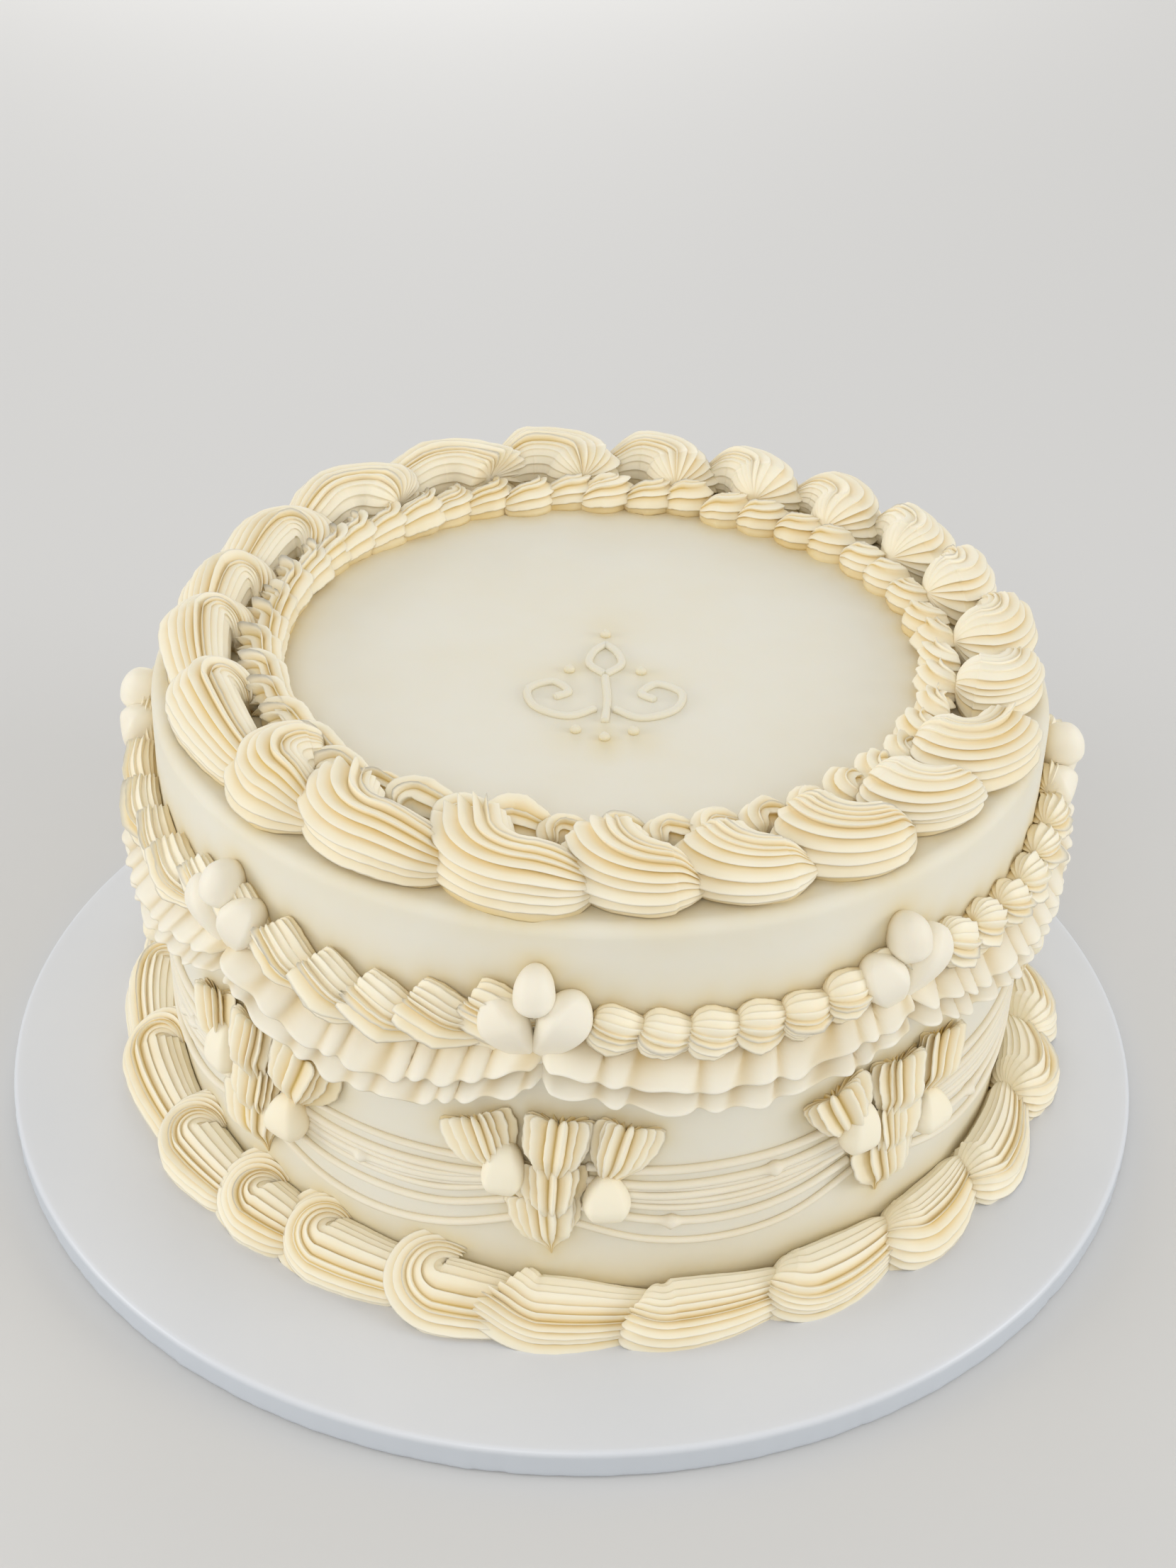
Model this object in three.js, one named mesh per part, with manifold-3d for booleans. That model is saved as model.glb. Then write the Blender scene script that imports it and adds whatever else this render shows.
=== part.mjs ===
// A round celebration cake, iced in pale buttercream and piped in an overpiped, old-fashioned way, on
// a round white cake board. Millimetres, +Z up. The origin is the centre of the board's underside.
import * as THREE from "three";
import { mergeVertices } from "three/addons/utils/BufferGeometryUtils.js";
import Module from "manifold-3d";

const { cos, sin, min, max, hypot, PI } = Math;
const radians = THREE.MathUtils.degToRad;

// ---- Driving dimensions -------------------------------------------------------------------------
const BOARD_RADIUS = 152.4; // a 12-inch round drum board
const BOARD_THICKNESS = 8.5;
const BOARD_EDGE = 1.2; // rounding of the board's wrapped rim
const CAKE_RADIUS = 112.8; // iced: an 8-inch cake with its buttercream
const CAKE_HEIGHT = 111.7;
const CAKE_EDGE = 3.5; // rounding where the side meets the top
const CAKE_OFFSET = { x: 4.5, y: 6.8 }; // the cake stands a little off the board's centre
const ROUND_STEPS = 60;
const GAP = 0.3; // clearance that touching pieces keep
const CURVED_GAP = 0.5; // the same against the round side, where flat facets cut the corner

// The piped shells of the two borders. A shell is one squeeze that turns back over itself: a short
// inner arm, a tight turn at the head, and a long outer arm that runs anticlockwise into its tail.
const TOP_SHELL = { circle: 103, turn: 5, reach: 9, height: 13.5, innerArm: 6, ridge: 0.12 };
const BASE_SHELL = { circle: 121, turn: 4, reach: 8, height: 13.2, innerArm: 5, ridge: 0.1 };
const SHELL_SIDES = 7; // points across a shell's arch, ridges and valleys in turn
// The plainer arch of the small piping: shares of its half width and of its height.
const SMALL_ARCH = [
  { across: -1, up: 0 },
  { across: -0.5, up: 0.94 },
  { across: 0.5, up: 0.94 },
  { across: 1, up: 0 },
];
const BASE_LEAN = radians(45); // the base border leans back in the corner between board and side

// Angle of each shell's head about the cake's axis, anticlockwise from +X, in degrees. The top ones
// go once round; of the base ones the front is given, and the rest are spread evenly behind.
const TOP_HEADS = [
  -169, -148.5, -133, -114, -96.5, -82.5, -68, -52.5, -39, -20, -6, 9.5, 23, 38, 54, 69.5, 86, 103.5,
  122, 141, 158.5, 172.5,
];
const BASE_HEADS_IN_FRONT = [-172, -153.5, -140, -129.5, -115, -101.5, -86, -70, -54, -38.5, -22, -8];
const BASE_SHELL_COUNT = 23;

// The small beads inside the top border.
const BEAD = { count: 47, circle: 83.2, halfWidth: 5.2, height: 8, neckWidth: 3.4, neckHeight: 4.6 };

// The swags on the side: eight bays hung between eight flower clusters.
const CLUSTERS = [-180, -136, -95.7, -53, -5.5, 40.6, 86.8, 132.9]; // degrees
const DEEPER = [3, 4, 0, 0.5, 1.5, 0, 2, 1]; // extra drop of the frills in each bay
const GARLAND = { beadsPerBay: 7, peak: 90.5, sag: 6, halfHeight: 6.6, out: 8, neck: 0.62 };
const UPPER_FRILL = { root: { peak: 80.4, sag: 3.8 }, lip: { peak: 76.5, sag: 6.8 }, out: 8.2 };
const LOWER_FRILL = { lip: { peak: 70, sag: 7.5 }, out: 9.6 };
const FRILL_LIP = 1.6; // thickness of a frill's edge
const FRILL_UNDERCUT = 3; // how far up a frill's underside meets the cake
const FRILL_STEPS_PER_BAY = 8; // a crest and a trough in turn
const FRILL_WAVE = 1.1;

// A flower cluster is three smooth petals, one up and one to each side, that meet in a foot. Its
// outline is given by where the petals and the foot point, in degrees, with hollows between them.
const FLOWER = { middle: 90.5, petals: [10, 90, 170], foot: 270, reach: 10.5, footReach: 8.5, out: 10.5 };
const FLOWER_HOLLOW = 0.68; // reach of the hollows and of the petals' front, as a share

// A hanging motif under each cluster: a tall middle shell, one at each side, a fan below, two dots.
const MOTIF_STROKES = [
  { u: 0, from: 61, to: 41, halfWidth: 6.2, out: 8 },
  { u: -12.5, from: 60, to: 42, halfWidth: 5, out: 6.5, toU: -4 },
  { u: 12.5, from: 60, to: 42, halfWidth: 5, out: 6.5, toU: 4 },
  { u: 0, from: 42.5, to: 20, halfWidth: 7, out: 7.5 },
];
const MOTIF_DOTS = [
  { u: -9.5, z: 40.5, radius: 4.6 },
  { u: 10, z: 38.5, radius: 5.2 },
];

const ICING = new THREE.Color(0xe4dcc4);
const PIPING = new THREE.Color(0xe9dcbd);
const PETAL_WHITE = new THREE.Color(0xece6d4);
const BOARD_WHITE = new THREE.Color(0xd9d9d8);

const wasm = await Module();
wasm.setup();

// ---- Closed shapes ------------------------------------------------------------------------------

// Volume inside a closed indexed geometry, negative when its faces point inwards.
function signedVolume(geometry) {
  const position = geometry.getAttribute("position");
  const [a, b, c] = [new THREE.Vector3(), new THREE.Vector3(), new THREE.Vector3()];
  let six = 0;
  for (let i = 0; i < geometry.index.count; i += 3) {
    [a, b, c].forEach((corner, k) => corner.fromBufferAttribute(position, geometry.index.getX(i + k)));
    six += a.dot(b.cross(c));
  }
  return six / 6;
}

// Joins rings of equal length into one closed skin: looped back on itself, or capped at both ends.
function loft(rings, looped = false) {
  const sides = rings[0].length;
  const spans = looped ? rings.length : rings.length - 1;
  const faces = [];
  for (let i = 0; i < spans; i++) {
    const here = i * sides;
    const next = ((i + 1) % rings.length) * sides;
    for (let k = 0; k < sides; k++) {
      const l = (k + 1) % sides;
      faces.push([here + k, here + l, next + l], [here + k, next + l, next + k]);
    }
  }
  const last = (rings.length - 1) * sides;
  for (let k = 1; k < sides - 1 && !looped; k++)
    faces.push([0, k + 1, k], [last, last + k, last + k + 1]);
  const geometry = new THREE.BufferGeometry().setFromPoints(rings.flat());
  geometry.setIndex(faces.flat());
  if (signedVolume(geometry) < 0) geometry.setIndex(faces.map((f) => f.toReversed()).flat());
  return geometry;
}

// A closed geometry as a solid that can be joined.
function solid(geometry) {
  const bare = new THREE.BufferGeometry().setAttribute("position", geometry.getAttribute("position"));
  const merged = mergeVertices(bare.setIndex(geometry.index), 1e-3);
  return new wasm.Manifold(
    new wasm.Mesh({
      numProp: 3,
      vertProperties: merged.getAttribute("position").array,
      triVerts: new Uint32Array(merged.index.array),
    }),
  );
}

// Geometries that run into each other, made one solid.
function join(geometries) {
  const joined = geometries.map(solid).reduce((sum, piece) => sum.add(piece));
  const mesh = joined.getMesh();
  const geometry = new THREE.BufferGeometry();
  geometry.setAttribute("position", new THREE.BufferAttribute(mesh.vertProperties, 3));
  geometry.setIndex(new THREE.BufferAttribute(mesh.triVerts, 1));
  return geometry;
}

// ---- Places about the cake's axis ---------------------------------------------------------------

const polar = (radius, angle, height) =>
  new THREE.Vector3(radius * cos(angle), radius * sin(angle), height);

// On the top: u runs anticlockwise along the border, v outwards, w up.
const onTop = (angle, circle) => (u, v, w) =>
  polar(circle + v, angle + u / circle, CAKE_HEIGHT + GAP + w);

// On the side: u runs anticlockwise round the cake, v is the height, w stands out from the side.
const onSide = (angle) => (u, v, w) =>
  polar(CAKE_RADIUS + CURVED_GAP + w, angle + u / CAKE_RADIUS, v);

// In the corner between board and side: v runs down the slope, w stands out of the corner.
const inCorner = (angle, circle) => (u, v, w) => {
  const radius = CAKE_RADIUS + v * cos(BASE_LEAN) + w * sin(BASE_LEAN);
  const height = w * cos(BASE_LEAN) - v * sin(BASE_LEAN);
  return polar(max(radius, CAKE_RADIUS + CURVED_GAP), angle + u / circle, max(height, GAP));
};

// ---- Piping -------------------------------------------------------------------------------------

// The arch of a rope of icing: ridges and valleys in turn over a flat foot. Each point is its
// distance across (outwards is positive) and its height.
function arch({ outer, inner, height, ridge }) {
  return Array.from({ length: SHELL_SIDES }, (_, k) => {
    const turn = (PI * k) / (SHELL_SIDES - 1);
    const groove = k % 2 ? 1 : 1 - ridge;
    const across = cos(turn) * (turn < PI / 2 ? outer : inner);
    return { across: across * groove, up: height * sin(turn) ** 0.8 * groove };
  });
}

// One shell of a border. The stations follow its rope: centre, the way its outer flank faces, and
// how full the rope is there. The inner flank stops short of the turn's centre.
function scrollShell(place, shell, tail) {
  const { turn, reach, height, innerArm, ridge } = shell;
  const stations = [{ u: innerArm, v: -turn, facing: -PI / 2, full: 0.6, inner: turn - 0.6 }];
  const turnSteps = 3;
  for (let i = 0; i <= turnSteps; i++) {
    const facing = -PI / 2 - (PI * i) / turnSteps;
    const full = 0.94 + 0.06 * sin((PI * i) / turnSteps);
    stations.push({ u: turn * cos(facing), v: turn * sin(facing), facing, full, inner: turn - 0.6 });
  }
  stations.push({ u: tail, v: turn * 0.6, facing: PI / 2, full: 0.72, inner: reach * 0.8 });
  const rings = stations.map(({ u, v, facing, full, inner }) =>
    arch({ outer: reach * full, inner: inner * min(1, full + 0.2), height: height * full, ridge }).map(
      ({ across, up }) => place(u + across * cos(facing), v + across * sin(facing), up),
    ),
  );
  return loft(rings);
}

// A little more or less than one, different for each piece of a row.
const uneven = (index, amount) => 1 + amount * sin(index * 2.4);

// The heads of a whole row: those given, then the rest spread evenly over the arc left behind.
function wholeRow(heads, count) {
  const hidden = count - heads.length;
  const start = heads.at(-1);
  const step = (heads[0] + 360 - start) / (hidden + 1);
  return [...heads, ...Array.from({ length: hidden }, (_, i) => start + step * (i + 1))];
}

// Every shell of a border, each with a tail that ends just before the next one's head.
function border(heads, shell, placing) {
  return heads.map((head, i) => {
    const next = i + 1 < heads.length ? heads[i + 1] : heads[0] + 360;
    const size = uneven(i, 0.04);
    const own = { ...shell, reach: shell.reach * size, height: shell.height * size };
    const headSize = shell.turn + own.reach;
    const pitch = radians(next - head) * shell.circle;
    const tail = pitch - headSize - shell.reach * 0.06 - 2 * CURVED_GAP;
    const angle = radians(head) + headSize / shell.circle;
    return scrollShell(placing(angle, shell.circle), own, tail);
  });
}

// The ring of small beads: each swells, then thins to a neck before the next.
function beadRing() {
  const pitch = (2 * PI) / BEAD.count;
  const place = onTop(0, BEAD.circle);
  const rings = [];
  const section = (angle, halfWidth, height) =>
    SMALL_ARCH.map(({ across, up }) => place(angle * BEAD.circle, across * halfWidth, up * height));
  for (let i = 0; i < BEAD.count; i++) {
    const size = uneven(i, 0.05);
    rings.push(section(pitch * (i + 0.3), BEAD.halfWidth * size, BEAD.height * size));
    rings.push(section(pitch * (i + 0.85), BEAD.neckWidth, BEAD.neckHeight));
  }
  return loft(rings, true);
}

// ---- Swags --------------------------------------------------------------------------------------

// Visits every bay in turn: the angle where it starts, its width and its number.
function bays() {
  return CLUSTERS.map((start, bay) => {
    const end = bay + 1 < CLUSTERS.length ? CLUSTERS[bay + 1] : CLUSTERS[0] + 360;
    return { start: radians(start), width: radians(end - start), bay };
  });
}

// Height of a row that hangs between two clusters, at a share of the way across the bay.
const hang = (row, share, extra = 0) => row.peak - (row.sag + extra) * sin(PI * share);

// The garland of small shells, one ring that dips in each bay.
function garlandRing() {
  const rings = [];
  for (const { start, width } of bays())
    for (let i = 0; i < 2 * GARLAND.beadsPerBay; i++) {
      const share = (i + 0.5) / (2 * GARLAND.beadsPerBay);
      const full = i % 2 ? 1 : GARLAND.neck;
      const place = onSide(start + share * width);
      const middle = hang(GARLAND, share);
      const halfHeight = GARLAND.halfHeight * (0.4 + 0.6 * full);
      rings.push(
        SMALL_ARCH.map(({ across, up }) => place(0, middle + across * halfHeight, up * GARLAND.out * full)),
      );
    }
  return loft(rings, true);
}

// One frill: rooted on the side, flaring out to a waved lip that hangs below its root. The lower
// one is rooted just under the upper one.
function frillRing(frill) {
  const rings = [];
  for (const { start, width, bay } of bays())
    for (let i = 0; i < FRILL_STEPS_PER_BAY; i++) {
      const share = i / FRILL_STEPS_PER_BAY;
      const wave = i % 2 ? FRILL_WAVE : -FRILL_WAVE;
      const place = onSide(start + share * width);
      const underUpper = hang(UPPER_FRILL.lip, share, DEEPER[bay]) + FRILL_UNDERCUT - 2 * GAP;
      const root = frill.root ? hang(frill.root, share) : underUpper;
      const lip = hang(frill.lip, share, DEEPER[bay]);
      rings.push([
        place(0, root, 0),
        place(0, lip + FRILL_LIP + wave * 0.4, frill.out + wave),
        place(0, lip, frill.out + wave - FRILL_LIP / 2),
        place(0, lip + FRILL_UNDERCUT, 0),
      ]);
    }
  return loft(rings, true);
}

// A drop of icing pressed on the side, from a round end to a point. It runs along the line between
// two places and stands out most near its round end.
function drop(place, from, to, halfWidth, out) {
  const along = { u: to.u - from.u, v: to.v - from.v };
  const length = hypot(along.u, along.v);
  const side = { u: -along.v / length, v: along.u / length };
  const outline = [
    { share: 0, full: 0.42 },
    { share: 0.3, full: 1 },
    { share: 1, full: 0.2 },
  ];
  return loft(
    outline.map(({ share, full }) =>
      SMALL_ARCH.map(({ across, up }) =>
        place(
          from.u + along.u * share + side.u * across * halfWidth * full,
          from.v + along.v * share + side.v * across * halfWidth * full,
          out * full * up,
        ),
      ),
    ),
  );
}

// A flower cluster: its outline on the side, and the same outline drawn in where it stands out.
function flower(angle) {
  const place = onSide(angle);
  const points = [...FLOWER.petals, FLOWER.foot];
  const outline = points.flatMap((point, i) => {
    const next = i + 1 < points.length ? points[i + 1] : points[0] + 360;
    const reach = point === FLOWER.foot ? FLOWER.footReach : FLOWER.reach;
    return [
      { turn: radians(point), reach },
      { turn: radians((point + next) / 2), reach: FLOWER.reach * FLOWER_HOLLOW },
    ];
  });
  const ring = (share, out) =>
    outline.map(({ turn, reach }) =>
      place(reach * share * cos(turn), FLOWER.middle + reach * share * sin(turn), out),
    );
  return loft([ring(1, 0), ring(1, FLOWER.out * 0.5), ring(FLOWER_HOLLOW, FLOWER.out)]);
}

// The garland with its flower clusters: one run of icing round the cake.
function garland() {
  return join([garlandRing(), ...CLUSTERS.map((angle) => flower(radians(angle)))]);
}

// The motif that hangs under a cluster.
function motif(angle) {
  const place = onSide(angle);
  const strokes = MOTIF_STROKES.map(({ u, from, to, halfWidth, out, toU = u }) =>
    drop(place, { u, v: from }, { u: toU, v: to }, halfWidth, out),
  );
  const dots = MOTIF_DOTS.map(({ u, z, radius }) =>
    drop(place, { u: u - radius, v: z }, { u: u + radius, v: z - 1 }, radius, radius),
  );
  return join([...strokes, ...dots]);
}

// ---- Board and cake -----------------------------------------------------------------------------

// A disc with rounded upper edge, from its own underside up.
function disc(radius, height, edge) {
  const slope = edge * 0.3;
  const profile = [
    [0, 0],
    [radius, 0],
    [radius, height - edge],
    [radius - slope, height - slope],
    [radius - edge, height],
    [0, height],
  ].map(([x, y]) => new THREE.Vector2(x, y));
  return new THREE.LatheGeometry(profile, ROUND_STEPS).rotateX(PI / 2);
}

// ---- Assembly -----------------------------------------------------------------------------------

function piece(name, geometry, color, roughness) {
  const mesh = new THREE.Mesh(geometry, new THREE.MeshStandardMaterial({ color, roughness, metalness: 0 }));
  mesh.name = name;
  return mesh;
}

const numbered = (name, index) => `${name}_${String(index + 1).padStart(2, "0")}`;

const part = new THREE.Group();
part.add(piece("board", disc(BOARD_RADIUS, BOARD_THICKNESS, BOARD_EDGE), BOARD_WHITE, 0.35));

const cake = new THREE.Group();
cake.position.set(CAKE_OFFSET.x, CAKE_OFFSET.y, BOARD_THICKNESS);
part.add(cake);

const body = piece("cake_body", disc(CAKE_RADIUS, CAKE_HEIGHT - GAP, CAKE_EDGE), ICING, 0.6);
body.position.z = GAP;
cake.add(body);

border(TOP_HEADS, TOP_SHELL, onTop).forEach((shell, i) =>
  cake.add(piece(numbered("top_shell", i), shell, PIPING, 0.6)),
);
border(wholeRow(BASE_HEADS_IN_FRONT, BASE_SHELL_COUNT), BASE_SHELL, inCorner).forEach((shell, i) =>
  cake.add(piece(numbered("base_shell", i), shell, PIPING, 0.6)),
);
cake.add(piece("bead_ring", beadRing(), PIPING, 0.6));
cake.add(piece("garland", garland(), PETAL_WHITE, 0.6));
cake.add(piece("upper_frill", frillRing(UPPER_FRILL), PETAL_WHITE, 0.6));
cake.add(piece("lower_frill", frillRing(LOWER_FRILL), PETAL_WHITE, 0.6));
CLUSTERS.forEach((angle, i) =>
  cake.add(piece(numbered("motif", i), motif(radians(angle)), PIPING, 0.6)),
);

export default part;
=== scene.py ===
"""Looks of a celebration cake: smooth pale buttercream, old-fashioned piping and a round board.

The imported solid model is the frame. Every class below builds one sub-assembly of the cake round it,
and reads its places from that frame. Lengths are in metres and angles in radians unless a name says
otherwise. On the cake, u runs anticlockwise round it, v runs outwards or down, and w stands off it.
"""

import logging
import math
from abc import ABC, abstractmethod
from dataclasses import dataclass, replace
from enum import Enum

import bmesh
import bpy
import numpy as np
from mathutils import Euler, Matrix, Vector
from mathutils.kdtree import KDTree


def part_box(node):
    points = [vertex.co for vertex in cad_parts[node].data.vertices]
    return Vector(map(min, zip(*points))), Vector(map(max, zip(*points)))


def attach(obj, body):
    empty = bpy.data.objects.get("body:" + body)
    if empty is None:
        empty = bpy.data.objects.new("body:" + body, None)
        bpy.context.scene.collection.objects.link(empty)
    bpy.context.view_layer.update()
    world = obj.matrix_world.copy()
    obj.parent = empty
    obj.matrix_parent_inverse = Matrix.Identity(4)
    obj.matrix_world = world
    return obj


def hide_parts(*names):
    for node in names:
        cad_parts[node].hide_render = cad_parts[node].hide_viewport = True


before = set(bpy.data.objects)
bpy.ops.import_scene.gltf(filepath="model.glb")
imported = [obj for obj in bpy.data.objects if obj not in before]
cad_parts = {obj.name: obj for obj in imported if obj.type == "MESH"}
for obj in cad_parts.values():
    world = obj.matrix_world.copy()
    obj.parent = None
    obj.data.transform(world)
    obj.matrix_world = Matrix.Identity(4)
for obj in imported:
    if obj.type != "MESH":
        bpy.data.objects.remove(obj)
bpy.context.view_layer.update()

MM = 0.001
TAU = 2 * math.pi
SKIN = 0.3 * MM  # how far icing may sink into what it lies on
BODY = "root"

Array = np.ndarray
log = logging.getLogger("cake")


class Slot(Enum):
    """Material slot names."""

    SMOOTH = "smooth_icing"
    PIPED = "piped_icing"
    PALE = "pale_icing"
    BOARD = "board_wrap"


# ---- Small mathematics --------------------------------------------------------------------------


def ease(x: Array) -> Array:
    """Goes smoothly from 0 to 1 while x does, and stays there."""
    x = np.clip(x, 0.0, 1.0)
    return x * x * (3 - 2 * x)


def round_end(distance: Array, length: float) -> Array:
    """Share of full thickness near a rounded end: 0 at the end and 1 from `length` on."""
    short = 1 - np.clip(distance / length, 0.0, 1.0)
    return np.sqrt(np.maximum(1 - short * short, 0.0))


def ripple(rng: np.random.Generator, x: Array, waves: tuple[float, ...]) -> Array:
    """Smooth unevenness between about -1 and 1.

    Args:
        rng: Where the phases come from.
        x: Where to read it.
        waves: How many waves pass while x grows by one, one number for each layer.

    Returns:
        The unevenness at each x.
    """
    total = np.zeros_like(x)
    for wave in waves:
        total = total + np.sin(TAU * wave * x + rng.uniform(0, TAU))
    return total / math.sqrt(len(waves))


def spline(points: Array, t: Array) -> Array:
    """Reads a smooth curve through a few points.

    Args:
        points: The points, one row each.
        t: Where to read it, 0 at the first point and 1 at the last.

    Returns:
        A row for each t.
    """
    ends = np.vstack([2 * points[0] - points[1], points, 2 * points[-1] - points[-2]])
    place = np.clip(t, 0, 1) * (len(points) - 1)
    first = np.minimum(place.astype(int), len(points) - 2)
    x = (place - first)[:, None]
    a, b, c, d = (ends[first + k] for k in range(4))
    return 0.5 * (2 * b + (c - a) * x + (2 * a - 5 * b + 4 * c - d) * x**2 + (3 * b - a - 3 * c + d) * x**3)


# ---- Where things are ---------------------------------------------------------------------------


@dataclass(frozen=True)
class CakeForm:
    """Sizes of the iced cake and its board, as the frame holds them."""

    board_radius: float
    board_top: float
    axis_x: float
    axis_y: float
    radius: float
    top: float

    @classmethod
    def from_frame(cls) -> "CakeForm":
        """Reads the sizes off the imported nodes.

        Returns:
            The sizes.
        """
        board_low, board_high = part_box("board")
        low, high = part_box("cake_body")
        return cls(
            board_radius=(board_high.x - board_low.x) / 2,
            board_top=board_high.z,
            axis_x=(low.x + high.x) / 2,
            axis_y=(low.y + high.y) / 2,
            radius=(high.x - low.x) / 2,
            top=high.z,
        )

    @property
    def girth(self) -> float:
        """Radius on which lengths round the side are measured, in the midst of its piping."""
        return self.radius + 4 * MM

    def bearing(self, node: str) -> tuple[float, float]:
        """Where a node starts and ends round the cake's axis.

        Args:
            node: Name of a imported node.

        Returns:
            Its clockwise-most and its anticlockwise-most angle.
        """
        corners = np.array([vertex.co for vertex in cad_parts[node].data.vertices])
        x, y = corners[:, 0] - self.axis_x, corners[:, 1] - self.axis_y
        middle = math.atan2(y.mean(), x.mean())
        offset = (np.arctan2(y, x) - middle + math.pi) % TAU - math.pi
        return middle + float(offset.min()), middle + float(offset.max())


@dataclass(frozen=True)
class Place:
    """A spot on the cake where icing is laid, with its own u, v and w.

    Attributes:
        form: The cake's sizes.
        angle: Bearing of the spot about the cake's axis.
        radius: Its distance from that axis.
        height: Its height above the ground.
        lean: 0 on the flat top, a quarter turn on the upright side.
        tilt: Turns u towards -v, for a row that climbs.
        overhang: How far below the top's rim icing on the top may hang.
    """

    form: CakeForm
    angle: float
    radius: float
    height: float
    lean: float = 0.0
    tilt: float = 0.0
    overhang: float = 0.0

    @classmethod
    def on_side(cls, form: CakeForm, angle: float, above: float = 0.0, tilt: float = 0.0) -> "Place":
        """A spot on the upright side, `above` the board."""
        return cls(form, angle, form.radius, form.board_top + above, lean=math.pi / 2, tilt=tilt)

    def to_world(self, u: Array, v: Array, w: Array) -> Array:
        """Takes local lengths to the row frame, kept out of the cake and the board.

        Args:
            u: Lengths round the cake.
            v: Lengths outwards or down.
            w: Lengths off the surface.

        Returns:
            A row x, y, z for each.
        """
        across = u * math.cos(self.tilt) + v * math.sin(self.tilt)
        down = v * math.cos(self.tilt) - u * math.sin(self.tilt)
        radial = self.radius + down * math.cos(self.lean) + w * math.sin(self.lean)
        height = self.height - down * math.sin(self.lean) + w * math.cos(self.lean)
        if self.lean:
            radial = np.maximum(radial, self.form.radius - SKIN)
            height = np.maximum(height, self.form.board_top - SKIN)
        else:
            past_rim = ease((radial - self.form.radius + 2 * MM) / (4 * MM))
            height = np.maximum(height, self.form.top - SKIN - self.overhang * past_rim)
        angle = self.angle + across / (self.form.girth if self.lean else self.radius)
        x = self.form.axis_x + radial * np.cos(angle)
        y = self.form.axis_y + radial * np.sin(angle)
        return np.stack([x, y, height], axis=-1)


@dataclass(frozen=True)
class FlatPlace:
    """The middle of the cake's top, where u is to the right and v to the back."""

    form: CakeForm
    x: float
    y: float

    def to_world(self, u: Array, v: Array, w: Array) -> Array:
        """Takes local lengths to the row frame.

        Args:
            u: Lengths to the right.
            v: Lengths to the back.
            w: Lengths off the surface.

        Returns:
            A row x, y, z for each.
        """
        height = np.maximum(self.form.top + w, self.form.top - 0.2 * MM)
        x = self.form.axis_x + self.x + u
        y = self.form.axis_y + self.y + v
        return np.stack([x, y, height], axis=-1)


# ---- Strokes: what the hand does ----------------------------------------------------------------


@dataclass
class Stops:
    """The nozzle along a stroke, as arrays: where its rope lies and how thick it is there.

    Attributes:
        u, v, lift: Middle of the rope.
        facing: Direction of the rope's outer flank, from u towards v.
        heading: Direction in which the nozzle moves.
        outer, inner: Half widths on the two flanks.
        rise, sink: Heights above and below the middle.
        relief: How deep the ridges are, 0 to 1.
        past: Length of the rope so far.
        open: 0 where the rope is closed at its ends, 1 elsewhere.
        stretch: How much the rope is drawn out along u.
    """

    u: Array
    v: Array
    lift: Array
    facing: Array
    heading: Array
    outer: Array
    inner: Array
    rise: Array
    sink: Array
    relief: Array
    past: Array
    open: Array
    stretch: float = 1.0


class Stroke(ABC):
    """One squeeze of the piping bag.

    Attributes:
        nib: How far the ridges' tips stand out at the start.
        bite: How much deeper the grooves are between these tips.
        press: How much of the crown is pressed flat, as a share of the height.
    """

    nib: float = 0.0
    bite: float = 0.0
    press: float = 0.0

    @abstractmethod
    def at(self, t: Array) -> Stops:
        """The rope at shares t of the stroke's length.

        Args:
            t: Shares of the stroke's length.

        Returns:
            The rope at each of them.
        """


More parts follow.
